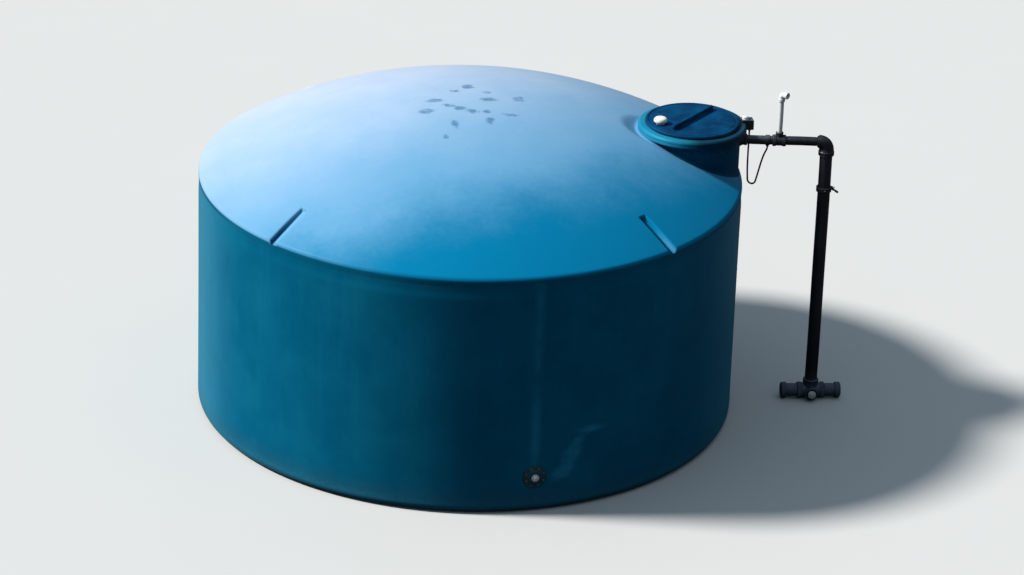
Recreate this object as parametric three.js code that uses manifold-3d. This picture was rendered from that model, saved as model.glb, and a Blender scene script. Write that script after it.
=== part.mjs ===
// Low round water tank of moulded plastic, with a screw-on manway lid and a black fill line beside it.
// Millimetres, +Z up. The origin is on the tank's axis, at the underside of its floor. The manway and
// the fill line are on +X.
import * as THREE from "three";
import { mergeVertices } from "three/addons/utils/BufferGeometryUtils.js";
import Module from "manifold-3d";

const wasm = await Module();
wasm.setup();

// Shell
const TANK_RADIUS = 1790;
const SHELL = 10;
const APEX_Z = 2120;
const RIM_Z = 1630; // where the dome would meet the wall without its rounded shoulder
const SHOULDER_RADIUS = 35;
const ROOF_SEAT_Z = 1590;
const BAND_DEPTH = 6;
const BAND_Z = 1528; // lower edge of the shallow band under the roof
const BAND_SLOPE = 10;
const WALL_FOOT_Z = 60;
const FOOT_RADIUS = 55;
const WALL_SEGMENTS = 8;
const TANK_SIDES = 72;
const GAP = 0.3; // between pieces that touch
const OVERRUN = 60; // how far a cutting shape runs past what it cuts

// Tie-down grooves in the shoulder
const GROOVE_TURNS = [42, 132, 222, 312];
const GROOVE_START_RADIUS = 1515;
const GROOVE_START_DEPTH = 24;
const GROOVE_END_Z = 1594;
const GROOVE_FLOOR_HALF = 19;
const GROOVE_SPREAD = 0.5; // half width gained for each millimetre of depth
const GROOVE_DEPTH = 120; // of the cutting shape, which reaches well above the dome

// Manway
const MANWAY_X = 1452;
const NECK_RADIUS = 320;
const NECK_WALL = 12;
const RING_RADIUS = 360;
const RING_INNER = 282;
const RING_BOTTOM_Z = 1918;
const RING_TOP_Z = 1968;
const SEAL = { inner: 284, outer: 306, thickness: 2.7 };
const LID_RADIUS = 312;
const LID_THICKNESS = 19;
const LANDING = { radius: 378, floor: RING_BOTTOM_Z - GAP, bank: 35 }; // recess in the dome round the ring
const LID_SKIRT = { outer: 268, inner: 256, depth: 36 };
const GRIP = { length: 495, width: 40, height: 32, turn: 51.5, bevel: 7 };
const LID_VENT = { x: -220, y: -70, radius: 45, stem: 24, height: 44 };
const ROUND_SIDES = 48;

// Fill line
const PIPE_SIDES = 16;
const CROSS_Z = 1862;
const CROSS_RADIUS = 30;
const RISER = { x: 2343, y: -70, radius: 44 };
const COLLAR = 9; // how far a socket stands proud of its pipe
const SOCKET = 44; // length of a fitting's socket
const INLET = { flange: 46, thickness: 22, socket: 26, barrel: 28, nut: 20 };
const VENT_TEE = { at: 578, half: 46, rise: 22 }; // at: from the manway's axis, along the crossover
const VENT_PIPE = { radius: 16.5, top: 2138 };
const VENT_BEND = { turn: -40, bend: 25, radius: 20, socket: 23, socketLength: 24 }; // its mouth looks sideways
const ELBOW = { bend: 52, wall: 5, lip: 12 };
const FOOT = { radius: RISER.radius + COLLAR + 3, half: 94, rise: 34, front: 84, stubEnd: 205, cap: 40 };
const FOOT_AXIS_Z = FOOT.radius * Math.cos(Math.PI / PIPE_SIDES); // its lowest flat lies on the ground
const FOOT_PLUG = { radius: 28, end: 106 };
const COCK = { z: 1528, band: 8, half: 16, barb: 9, reach: 62, droop: 34 };

// Level lead that hangs beside the manway
const LEAD_BOX = { turn: 4, inner: 328, outer: 408, half: 32, bottom: 1918, top: 1986 };
const LEAD_BOX_CAP = { at: 354, radius: 22, height: 20 };
const LEAD_GLAND = { at: 386, radius: 10, height: 18 };
const LEAD_RADIUS = 6;
const LEAD_CLAMP_AT = 502; // from the manway's axis, along the crossover
const LEAD_CLAMP = { half: 14, thickness: 5, gland: 16 };

// Drain in the wall
const DRAIN = { turn: -79.4, z: 251, flange: 75, flangeThickness: 18, barrel: 36, plug: 25, reach: 40 };
const DRAIN_NUT = { radius: 60, depth: 26 };

const COLOURS = {
  shell: 0x0f6f92,
  lid: 0x0c4468,
  ring: 0x1c86a4,
  black: 0x14181a,
  white: 0xe8ecea,
  rubber: 0x101214,
  lead: 0x15181a,
};

const part = new THREE.Group();
part.name = "water_tank";

function finish(colour, roughness) {
  return new THREE.MeshStandardMaterial({ color: colour, roughness, metalness: 0 });
}

const FINISHES = {
  shell: finish(COLOURS.shell, 0.42),
  lid: finish(COLOURS.lid, 0.5),
  ring: finish(COLOURS.ring, 0.42),
  black: finish(COLOURS.black, 0.45),
  white: finish(COLOURS.white, 0.4),
  rubber: finish(COLOURS.rubber, 0.8),
  lead: finish(COLOURS.lead, 0.6),
};

function radians(degrees) {
  return THREE.MathUtils.degToRad(degrees);
}

// A closed three.js geometry as a solid that can be joined and cut.
function solid(geometry) {
  const bare = geometry.clone();
  for (const name of Object.keys(bare.attributes)) {
    if (name !== "position") bare.deleteAttribute(name);
  }
  const merged = mergeVertices(bare, 1e-3);
  return new wasm.Manifold(
    new wasm.Mesh({
      numProp: 3,
      vertProperties: merged.attributes.position.array,
      triVerts: new Uint32Array(merged.index.array),
    }),
  );
}

function geometryOf(shape) {
  const mesh = shape.getMesh();
  const geometry = new THREE.BufferGeometry();
  const places = new Float32Array(mesh.numVert * 3);
  for (let i = 0; i < mesh.numVert; i++) {
    places.set(mesh.vertProperties.subarray(i * mesh.numProp, i * mesh.numProp + 3), i * 3);
  }
  geometry.setAttribute("position", new THREE.BufferAttribute(places, 3));
  geometry.setIndex(new THREE.BufferAttribute(mesh.triVerts, 1));
  const flat = geometry.toNonIndexed();
  flat.computeVertexNormals();
  return flat;
}

function add(parent, name, shape, material) {
  const geometry = shape.isBufferGeometry ? shape : geometryOf(shape);
  const mesh = new THREE.Mesh(geometry, material);
  mesh.name = name;
  parent.add(mesh);
  return mesh;
}

// Turns a profile of [radius, z] pairs about the Z axis. The profile runs up the outside.
function turned(profile, sides, halfStep = true) {
  const points = profile.map(([radius, z]) => new THREE.Vector2(radius, z));
  const lathe = new THREE.LatheGeometry(points, sides, halfStep ? Math.PI / sides : 0);
  return lathe.rotateX(Math.PI / 2);
}

function arc(centreR, centreZ, radius, from, to, steps) {
  const points = [];
  for (let i = 0; i <= steps; i++) {
    const angle = radians(from + ((to - from) * i) / steps);
    points.push([centreR + radius * Math.cos(angle), centreZ + radius * Math.sin(angle)]);
  }
  return points;
}

function closed(profile) {
  return [...profile, profile[0]];
}

// A solid rod along Z between two heights.
function rod(radius, bottom, top, sides = PIPE_SIDES) {
  return turned([[0, bottom], [radius, bottom], [radius, top], [0, top]], sides);
}

function tube(outer, inner, bottom, top, sides) {
  return turned(closed([[inner, bottom], [outer, bottom], [outer, top], [inner, top]]), sides);
}

// A rod along X between two places.
function barAlongX(radius, from, to, sides = PIPE_SIDES) {
  return rod(radius, from, to, sides).rotateY(Math.PI / 2);
}

// The dome: a sphere's cap that ends in a rounded shoulder. Inset moves the whole surface inwards.
const SPHERE_RISE = APEX_Z - RIM_Z;
const SPHERE_RADIUS = (TANK_RADIUS ** 2 + SPHERE_RISE ** 2) / (2 * SPHERE_RISE);
const SPHERE_Z = APEX_Z - SPHERE_RADIUS;
const SHOULDER_R = TANK_RADIUS - SHOULDER_RADIUS;
const SHOULDER_Z =
  SPHERE_Z + Math.sqrt((SPHERE_RADIUS - SHOULDER_RADIUS) ** 2 - SHOULDER_R ** 2);
const NECK_FOOT_Z = SHOULDER_Z + 5;

function domeProfile(inset, steps) {
  const meet = THREE.MathUtils.radToDeg(Math.acos(SHOULDER_R / (SPHERE_RADIUS - SHOULDER_RADIUS)));
  const shoulder = arc(SHOULDER_R, SHOULDER_Z, SHOULDER_RADIUS - inset, 0, meet, 5);
  const cap = arc(0, SPHERE_Z, SPHERE_RADIUS - inset, meet, 90, steps).slice(1);
  cap[cap.length - 1][0] = 0;
  return [...shoulder, ...cap];
}

// A straight groove that starts with a short step down and reaches the shoulder's foot at the rim.
function groove(growth) {
  const startZ = SPHERE_Z + Math.sqrt(SPHERE_RADIUS ** 2 - GROOVE_START_RADIUS ** 2) - GROOVE_START_DEPTH;
  const run = TANK_RADIUS - GROOVE_START_RADIUS;
  const drop = startZ - GROOVE_END_Z;
  const floor = GROOVE_FLOOR_HALF + growth;
  const section = new THREE.Shape();
  section.moveTo(-floor, -growth);
  section.lineTo(floor, -growth);
  section.lineTo(floor + GROOVE_SPREAD * GROOVE_DEPTH, GROOVE_DEPTH);
  section.lineTo(-floor - GROOVE_SPREAD * GROOVE_DEPTH, GROOVE_DEPTH);
  section.closePath();
  const length = run + 2.5 * OVERRUN;
  const prism = new THREE.ExtrudeGeometry(section, { depth: length, bevelEnabled: false });
  // The section's height turns to +Z and its length to +X.
  prism.translate(0, 0, -growth);
  prism.rotateX(Math.PI / 2);
  prism.rotateZ(Math.PI / 2);
  prism.rotateY(Math.atan2(drop, run));
  prism.translate(GROOVE_START_RADIUS, 0, startZ);
  return prism;
}

function roofSolid(inset) {
  const lowest = inset ? ROOF_SEAT_Z - OVERRUN : ROOF_SEAT_Z;
  const reach = TANK_RADIUS - 2 * inset;
  const foot = inset ? [[reach, lowest], [reach, SHOULDER_Z]] : [[reach, lowest]];
  const body = solid(turned([[0, lowest], ...foot, ...domeProfile(inset, 12)], TANK_SIDES));
  // The recess is a cone that opens upwards, so that its bank meets the dome at a gentle slope.
  const landingRadius = LANDING.radius + inset * Math.tan(radians(LANDING.bank / 2));
  const landingHeight = APEX_Z - LANDING.floor;
  const landingCone = [
    [0, LANDING.floor - inset],
    [landingRadius, LANDING.floor - inset],
    [landingRadius + landingHeight / Math.tan(radians(LANDING.bank)), LANDING.floor - inset + landingHeight],
    [0, LANDING.floor - inset + landingHeight],
  ];
  const landing = solid(turned(landingCone, ROUND_SIDES).translate(MANWAY_X, 0, 0));
  let shaped = body.subtract(landing);
  for (const turn of GROOVE_TURNS) {
    shaped = shaped.subtract(solid(groove(inset).rotateZ(radians(turn))));
  }
  return shaped;
}

const roofInside = roofSolid(SHELL);
const neckHole = solid(
  rod(NECK_RADIUS + GAP, NECK_FOOT_Z, APEX_Z + OVERRUN, ROUND_SIDES).translate(MANWAY_X, 0, 0),
);
add(part, "roof_dome", roofSolid(0).subtract(roofInside).subtract(neckHole), FINISHES.shell);

// Floor pan and wall
const panProfile = [
  [0, 0],
  ...arc(TANK_RADIUS - FOOT_RADIUS, FOOT_RADIUS, FOOT_RADIUS, -90, 0, 5),
  [TANK_RADIUS, WALL_FOOT_Z],
  [TANK_RADIUS - SHELL, WALL_FOOT_Z],
  ...arc(TANK_RADIUS - FOOT_RADIUS, FOOT_RADIUS, FOOT_RADIUS - SHELL, 0, -90, 4),
  [0, SHELL],
];
add(part, "tank_floor", turned(panProfile, TANK_SIDES), FINISHES.shell);

const wallRing = solid(
  turned(
    closed([
      [TANK_RADIUS - SHELL, WALL_FOOT_Z],
      [TANK_RADIUS, WALL_FOOT_Z],
      [TANK_RADIUS, BAND_Z],
      [TANK_RADIUS - BAND_DEPTH, BAND_Z + BAND_SLOPE],
      [TANK_RADIUS - BAND_DEPTH, ROOF_SEAT_Z],
      [TANK_RADIUS - BAND_DEPTH - SHELL, ROOF_SEAT_Z],
      [TANK_RADIUS - BAND_DEPTH - SHELL, BAND_Z],
      [TANK_RADIUS - SHELL, BAND_Z - BAND_SLOPE],
    ]),
    TANK_SIDES,
  ),
);

// The wedge of the plan between two turns, kept clear of its neighbours by half the gap.
function wedge(from, to) {
  const reach = TANK_RADIUS * 1.3;
  const clear = GAP / 2 / TANK_RADIUS;
  const a = radians(from) + clear;
  const b = radians(to) - clear;
  const plan = new THREE.Shape();
  plan.moveTo(0, 0);
  plan.lineTo(reach * Math.cos(a), reach * Math.sin(a));
  plan.lineTo(reach * Math.cos(b), reach * Math.sin(b));
  plan.closePath();
  return solid(new THREE.ExtrudeGeometry(plan, { depth: RIM_Z, bevelEnabled: false }));
}

// Places a piece made along +X at a turn and height of the tank's wall.
function atWall(geometry, turn, z) {
  return geometry.translate(0, 0, z).rotateZ(radians(turn));
}

const drainHole = solid(
  atWall(barAlongX(DRAIN.barrel + GAP, TANK_RADIUS - OVERRUN, TANK_RADIUS + OVERRUN), DRAIN.turn, DRAIN.z),
);
for (let i = 0; i < WALL_SEGMENTS; i++) {
  const step = 360 / WALL_SEGMENTS;
  const segment = wallRing.intersect(wedge(i * step, (i + 1) * step)).subtract(drainHole);
  add(part, "wall_segment_" + (i + 1), segment, FINISHES.shell);
}

// Drain fitting, its nut inside the wall and its plug
const tankOutside = solid(rod(TANK_RADIUS + GAP, 0, RIM_Z, TANK_SIDES));
const tankInside = solid(rod(TANK_RADIUS - SHELL - GAP, 0, RIM_Z, TANK_SIDES));
const drainFlange = solid(
  atWall(
    barAlongX(DRAIN.flange, TANK_RADIUS - OVERRUN, TANK_RADIUS + DRAIN.flangeThickness, ROUND_SIDES / 2),
    DRAIN.turn,
    DRAIN.z,
  ),
).subtract(tankOutside);
const drainBarrel = solid(
  atWall(barAlongX(DRAIN.barrel, TANK_RADIUS - DRAIN_NUT.depth - 24, TANK_RADIUS + DRAIN.flangeThickness), DRAIN.turn, DRAIN.z),
);
add(part, "drain_fitting", drainFlange.add(drainBarrel), FINISHES.black);
const nutBore = solid(
  atWall(barAlongX(DRAIN.barrel + GAP, TANK_RADIUS - OVERRUN, TANK_RADIUS), DRAIN.turn, DRAIN.z),
);
const drainNut = solid(
  atWall(barAlongX(DRAIN_NUT.radius, TANK_RADIUS - SHELL - DRAIN_NUT.depth, TANK_RADIUS, 6), DRAIN.turn, DRAIN.z),
)
  .intersect(tankInside)
  .subtract(nutBore);
add(part, "drain_lock_nut", drainNut, FINISHES.black);
add(
  part,
  "drain_plug",
  atWall(
    barAlongX(
      DRAIN.plug,
      TANK_RADIUS + DRAIN.flangeThickness + GAP,
      TANK_RADIUS + DRAIN.reach,
      8,
    ),
    DRAIN.turn,
    DRAIN.z,
  ),
  FINISHES.white,
);

// Manway
const manway = new THREE.Group();
manway.position.set(MANWAY_X, 0, 0);
part.add(manway);

const line = new THREE.Vector2(RISER.x - MANWAY_X, RISER.y);
const LINE_TURN = line.angle();
const LINE_LENGTH = line.length();

const inletHole = solid(
  barAlongX(CROSS_RADIUS + GAP, 0, NECK_RADIUS + OVERRUN).translate(0, 0, CROSS_Z).rotateZ(LINE_TURN),
);
const neck = solid(tube(NECK_RADIUS, NECK_RADIUS - NECK_WALL, NECK_FOOT_Z, RING_BOTTOM_Z, ROUND_SIDES))
  .subtract(roofInside.translate([-MANWAY_X, 0, 0]))
  .subtract(inletHole);
add(manway, "manway_neck", neck, FINISHES.shell);

const ringProfile = closed([
  [RING_INNER, RING_BOTTOM_Z],
  [RING_RADIUS - 6, RING_BOTTOM_Z],
  [RING_RADIUS, RING_BOTTOM_Z + 6],
  [RING_RADIUS, RING_TOP_Z - 10],
  [RING_RADIUS - 4, RING_TOP_Z - 3],
  [RING_RADIUS - 11, RING_TOP_Z],
  [RING_INNER, RING_TOP_Z],
]);
add(manway, "manway_ring", turned(ringProfile, ROUND_SIDES), FINISHES.ring);

const sealBottom = RING_TOP_Z + GAP;
const lidBottom = sealBottom + SEAL.thickness + GAP;
const lidTop = lidBottom + LID_THICKNESS;
add(
  manway,
  "lid_seal",
  tube(SEAL.outer, SEAL.inner, sealBottom, sealBottom + SEAL.thickness, ROUND_SIDES),
  FINISHES.rubber,
);

const lidProfile = [
  [0, lidBottom],
  [LID_RADIUS, lidBottom],
  [LID_RADIUS, lidTop - 8],
  [LID_RADIUS - 3, lidTop - 3],
  [LID_RADIUS - 12, lidTop],
  [0, lidTop],
];
add(manway, "manway_lid", turned(lidProfile, ROUND_SIDES), FINISHES.lid);
const skirtTop = lidBottom - GAP;
const skirtFoot = lidBottom - LID_SKIRT.depth;
const skirtProfile = closed([
  [LID_SKIRT.inner, skirtFoot],
  [LID_SKIRT.outer - 3, skirtFoot],
  [LID_SKIRT.outer, skirtFoot + 3],
  [LID_SKIRT.outer, skirtTop],
  [LID_SKIRT.inner, skirtTop],
]);
add(manway, "lid_skirt", turned(skirtProfile, ROUND_SIDES), FINISHES.lid);

// The grip is a long bar with round ends and sloping sides.
function gripBar() {
  const end = GRIP.width / 2;
  const half = GRIP.length / 2 - end;
  const outline = new THREE.Shape();
  outline.absarc(half, 0, end - GRIP.bevel, -Math.PI / 2, Math.PI / 2, false);
  outline.absarc(-half, 0, end - GRIP.bevel, Math.PI / 2, (3 * Math.PI) / 2, false);
  outline.closePath();
  const bar = new THREE.ExtrudeGeometry(outline, {
    depth: GRIP.height - GRIP.bevel,
    bevelEnabled: true,
    bevelThickness: GRIP.bevel,
    bevelSize: GRIP.bevel,
    bevelSegments: 2,
    curveSegments: 6,
  });
  const aboveLid = new THREE.BoxGeometry(GRIP.length * 2, GRIP.length, GRIP.height * 2).translate(0, 0, GRIP.height);
  return solid(bar).intersect(solid(aboveLid));
}

const grip = add(manway, "lid_grip_bar", gripBar(), FINISHES.lid);
grip.position.z = lidTop;
grip.rotation.z = radians(GRIP.turn);

const ventProfile = [
  [0, 0],
  [LID_VENT.stem, 0],
  [LID_VENT.stem, LID_VENT.height * 0.38],
  [LID_VENT.radius, LID_VENT.height * 0.38],
  [LID_VENT.radius, LID_VENT.height * 0.68],
  [LID_VENT.radius * 0.86, LID_VENT.height * 0.9],
  [LID_VENT.radius * 0.5, LID_VENT.height],
  [0, LID_VENT.height],
];
const lidVent = add(manway, "lid_vent_cap", turned(ventProfile, 24), FINISHES.white);
lidVent.position.set(LID_VENT.x, LID_VENT.y, lidTop);

// Everything on the crossover lies along its own X axis, from the manway's axis outwards.
const crossover = new THREE.Group();
crossover.position.set(MANWAY_X, 0, CROSS_Z);
crossover.rotation.z = LINE_TURN;
part.add(crossover);

const flangeEnd = NECK_RADIUS + INLET.thickness;
const flangeBody = solid(barAlongX(INLET.flange, NECK_RADIUS - INLET.thickness, flangeEnd, 24)).subtract(
  solid(rod(NECK_RADIUS + GAP, -OVERRUN, OVERRUN, ROUND_SIDES * 2)),
);
const inletBarrel = solid(barAlongX(CROSS_RADIUS, NECK_RADIUS - NECK_WALL - INLET.barrel, flangeEnd));
const pipeStart = flangeEnd + INLET.socket;
const inletSocket = solid(barAlongX(CROSS_RADIUS + COLLAR, flangeEnd - 1, pipeStart));
add(crossover, "inlet_fitting", flangeBody.add(inletBarrel).add(inletSocket), FINISHES.black);

const lockNut = solid(
  barAlongX(INLET.flange, NECK_RADIUS - NECK_WALL - INLET.nut, NECK_RADIUS, 6),
)
  .intersect(solid(rod(NECK_RADIUS - NECK_WALL - 4 * GAP, -OVERRUN, OVERRUN, ROUND_SIDES)))
  .subtract(solid(barAlongX(CROSS_RADIUS + GAP, NECK_RADIUS - 2 * OVERRUN, NECK_RADIUS)));
add(crossover, "inlet_lock_nut", lockNut, FINISHES.black);

const elbowStart = LINE_LENGTH - RISER.radius - COLLAR - ELBOW.lip;
add(
  crossover,
  "crossover_pipe_inner",
  barAlongX(CROSS_RADIUS, pipeStart + GAP, VENT_TEE.at - VENT_TEE.half - GAP),
  FINISHES.black,
);
add(
  crossover,
  "crossover_pipe_outer",
  barAlongX(CROSS_RADIUS, VENT_TEE.at + VENT_TEE.half + GAP, elbowStart - GAP),
  FINISHES.black,
);

// Tee that carries the white vent pipe
const teeTop = CROSS_RADIUS + COLLAR + VENT_TEE.rise;
const teeRun = solid(
  barAlongX(CROSS_RADIUS + COLLAR, VENT_TEE.at - VENT_TEE.half, VENT_TEE.at + VENT_TEE.half),
);
const teeBranch = solid(rod(VENT_PIPE.radius + COLLAR, 0, teeTop).translate(VENT_TEE.at, 0, 0));
add(crossover, "vent_tee", teeRun.add(teeBranch), FINISHES.black);
const ventPipe = add(
  crossover,
  "vent_pipe",
  rod(VENT_PIPE.radius, teeTop + GAP, VENT_PIPE.top - CROSS_Z),
  FINISHES.white,
);
ventPipe.position.x = VENT_TEE.at;

// A round quarter bend about the origin in the XZ plane, from (0, 0, bend) over to (bend, 0, 0).
function quarterBend(radius, bend) {
  const quarter = [];
  for (let i = 0; i <= 6; i++) {
    const angle = radians(90 - 15 * i);
    quarter.push(new THREE.Vector3(bend * Math.cos(angle), 0, bend * Math.sin(angle)));
  }
  const section = new THREE.Shape();
  section.absarc(0, 0, radius, 0, 2 * Math.PI, false);
  return new THREE.ExtrudeGeometry(section, {
    steps: 12,
    curveSegments: 10,
    extrudePath: new THREE.CatmullRomCurve3(quarter),
    bevelEnabled: false,
  });
}

// The white elbow on the vent pipe: a socket on the pipe, a quarter bend and a mouth that looks sideways.
const bendFoot = VENT_BEND.socketLength;
const ventSocket = solid(rod(VENT_BEND.socket, 0, bendFoot + 1));
const ventQuarter = solid(
  quarterBend(VENT_BEND.radius, VENT_BEND.bend).rotateZ(Math.PI).translate(VENT_BEND.bend, 0, bendFoot),
);
const ventMouth = solid(
  barAlongX(VENT_BEND.socket, VENT_BEND.bend - 1, VENT_BEND.bend + VENT_BEND.socketLength).translate(
    0,
    0,
    bendFoot + VENT_BEND.bend,
  ),
);
const ventElbow = add(crossover, "vent_pipe_elbow", ventSocket.add(ventQuarter).add(ventMouth), FINISHES.white);
ventElbow.position.set(VENT_TEE.at, 0, VENT_PIPE.top - CROSS_Z + GAP);
ventElbow.rotation.z = radians(VENT_BEND.turn);

// The black elbow: a quarter bend from the crossover down onto the riser's axis.
function elbow() {
  const { bend } = ELBOW;
  const swept = quarterBend(RISER.radius + ELBOW.wall, bend).translate(LINE_LENGTH - bend, 0, -bend);
  const inlet = solid(barAlongX(CROSS_RADIUS + COLLAR, elbowStart, LINE_LENGTH - bend + 2));
  const outlet = solid(
    rod(RISER.radius + COLLAR, -bend - SOCKET, -bend + 2).translate(LINE_LENGTH, 0, 0),
  );
  return { shape: solid(swept).add(inlet).add(outlet), bottom: -bend - SOCKET };
}

const corner = elbow();
add(crossover, "riser_elbow", corner.shape, FINISHES.black);

// Clamp on the crossover that holds the lead's far end
const clampBand = solid(
  barAlongX(
    CROSS_RADIUS + LEAD_CLAMP.thickness,
    LEAD_CLAMP_AT - LEAD_CLAMP.half,
    LEAD_CLAMP_AT + LEAD_CLAMP.half,
  ),
).subtract(solid(barAlongX(CROSS_RADIUS + GAP, LEAD_CLAMP_AT - OVERRUN, LEAD_CLAMP_AT + OVERRUN)));
const clampGland = solid(
  rod(LEAD_GLAND.radius, -CROSS_RADIUS - LEAD_CLAMP.gland, -CROSS_RADIUS - 2).translate(LEAD_CLAMP_AT, 0, 0),
);
add(crossover, "lead_clamp", clampBand.add(clampGland), FINISHES.black);

// Riser and its foot
const riser = new THREE.Group();
riser.position.set(RISER.x, RISER.y, 0);
part.add(riser);

const footSocketTop = FOOT_AXIS_Z + RISER.radius + COLLAR + FOOT.rise;
add(
  riser,
  "riser_pipe",
  rod(RISER.radius, footSocketTop + GAP, CROSS_Z + corner.bottom - GAP),
  FINISHES.black,
);

const footRun = solid(barAlongX(FOOT.radius, -FOOT.half, FOOT.half).translate(0, 0, FOOT_AXIS_Z));
const footSocket = solid(rod(RISER.radius + COLLAR, FOOT_AXIS_Z, footSocketTop));
const footFront = solid(
  barAlongX(RISER.radius, 0, FOOT.front).rotateZ(-Math.PI / 2).translate(0, 0, FOOT_AXIS_Z),
);
add(riser, "riser_foot_fitting", footRun.add(footSocket).add(footFront), FINISHES.black);
add(
  riser,
  "foot_front_plug",
  barAlongX(FOOT_PLUG.radius, FOOT.front + GAP, FOOT_PLUG.end, 8)
    .rotateZ(-Math.PI / 2)
    .translate(0, 0, FOOT_AXIS_Z),
  FINISHES.white,
);
for (const [side, turn] of [["right", 0], ["left", Math.PI]]) {
  add(
    riser,
    "foot_stub_" + side,
    barAlongX(RISER.radius, FOOT.half + GAP, FOOT.stubEnd - FOOT.cap).rotateZ(turn).translate(0, 0, FOOT_AXIS_Z),
    FINISHES.black,
  );
  add(
    riser,
    "foot_end_cap_" + side,
    barAlongX(RISER.radius + COLLAR, FOOT.stubEnd - FOOT.cap + GAP, FOOT.stubEnd)
      .rotateZ(turn)
      .translate(0, 0, FOOT_AXIS_Z),
    FINISHES.black,
  );
}

// Small drain cock on the riser: a band with a barb that points out and down
const cockBand = solid(rod(RISER.radius + COCK.band, -COCK.half, COCK.half));
const cockBarb = solid(
  barAlongX(COCK.barb, 0, COCK.reach, 10).rotateY(radians(COCK.droop)).translate(RISER.radius + 3, 0, 6),
);
const cockBore = solid(rod(RISER.radius + GAP, -OVERRUN, OVERRUN));
const cock = add(riser, "riser_drain_cock", cockBand.add(cockBarb).subtract(cockBore), FINISHES.black);
cock.position.z = COCK.z;

// Level lead: the box on the manway ring, its cap and gland, and the loop to the crossover
const leadMount = new THREE.Group();
leadMount.position.set(MANWAY_X, 0, 0);
leadMount.rotation.z = radians(LEAD_BOX.turn);
part.add(leadMount);

const boxOutline = new THREE.Shape();
boxOutline.moveTo(RING_RADIUS + GAP * 3, LEAD_BOX.bottom);
boxOutline.lineTo(LEAD_BOX.outer, LEAD_BOX.bottom);
boxOutline.lineTo(LEAD_BOX.outer, LEAD_BOX.top - 6);
boxOutline.lineTo(LEAD_BOX.outer - 6, LEAD_BOX.top);
boxOutline.lineTo(LEAD_BOX.inner, LEAD_BOX.top);
boxOutline.lineTo(LEAD_BOX.inner, RING_TOP_Z + GAP);
boxOutline.lineTo(RING_RADIUS + GAP * 3, RING_TOP_Z + GAP);
boxOutline.closePath();
const boxShape = new THREE.ExtrudeGeometry(boxOutline, { depth: 2 * LEAD_BOX.half, bevelEnabled: false })
  .rotateX(Math.PI / 2)
  .translate(0, LEAD_BOX.half, 0);
add(leadMount, "lead_box", boxShape, FINISHES.black);
const boxCap = add(leadMount, "lead_box_cap", rod(LEAD_BOX_CAP.radius, 0, LEAD_BOX_CAP.height, 12), FINISHES.white);
boxCap.position.set(LEAD_BOX_CAP.at, 0, LEAD_BOX.top);
const gland = add(
  leadMount,
  "lead_gland",
  rod(LEAD_GLAND.radius, -LEAD_GLAND.height, 0, 12),
  FINISHES.black,
);
gland.position.set(LEAD_GLAND.at, 0, LEAD_BOX.bottom - GAP);

const leadStart = new THREE.Vector3(LEAD_GLAND.at, 0, LEAD_BOX.bottom - LEAD_GLAND.height - 2 * GAP)
  .applyAxisAngle(new THREE.Vector3(0, 0, 1), radians(LEAD_BOX.turn))
  .add(new THREE.Vector3(MANWAY_X, 0, 0));
const leadEnd = new THREE.Vector3(LEAD_CLAMP_AT, 0, CROSS_Z - CROSS_RADIUS - LEAD_CLAMP.gland - GAP)
  .applyAxisAngle(new THREE.Vector3(0, 0, 1), LINE_TURN)
  .add(new THREE.Vector3(MANWAY_X, 0, 0));

// The loop's route, as [share of the way across, height], between its two vertical ends.
const LEAD_ROUTE = [
  [0, 1865], [0, 1810], [0, 1755], [0.002, 1700], [0.008, 1650], [0.023, 1605], [0.039, 1575], [0.053, 1554],
  [0.089, 1543], [0.154, 1535], [0.237, 1532], [0.324, 1533], [0.4, 1539], [0.452, 1548], [0.519, 1580],
  [0.58, 1615], [0.648, 1655], [0.718, 1695], [0.8, 1735], [0.887, 1768], [0.948, 1787], [0.985, 1799],
  [0.9995, 1810],
];
const leadPoints = [
  leadStart,
  ...LEAD_ROUTE.map(([share, z]) => new THREE.Vector3().lerpVectors(leadStart, leadEnd, share).setZ(z)),
  leadEnd,
];
const leadCurve = new THREE.CatmullRomCurve3(leadPoints, false, "centripetal");
const leadSection = new THREE.Shape();
leadSection.absarc(0, 0, LEAD_RADIUS, 0, 2 * Math.PI, false);
add(
  part,
  "level_lead",
  new THREE.ExtrudeGeometry(leadSection, {
    steps: 40,
    curveSegments: 4,
    extrudePath: leadCurve,
    bevelEnabled: false,
  }),
  FINISHES.lead,
);

export default part;
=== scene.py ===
"""Looks of a low round moulded water tank with a raised manway and a black fill line.

Metres, +Z up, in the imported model's own frame: the tank's axis is Z and its floor lies on z = 0. The
manway and the fill line are on +X, and the drain is near -Y.
"""
import logging
import math
from collections.abc import Callable, Sequence
from dataclasses import dataclass, field
from enum import Enum

import bmesh
import bpy
import numpy as np
from mathutils import Matrix, Vector


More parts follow.
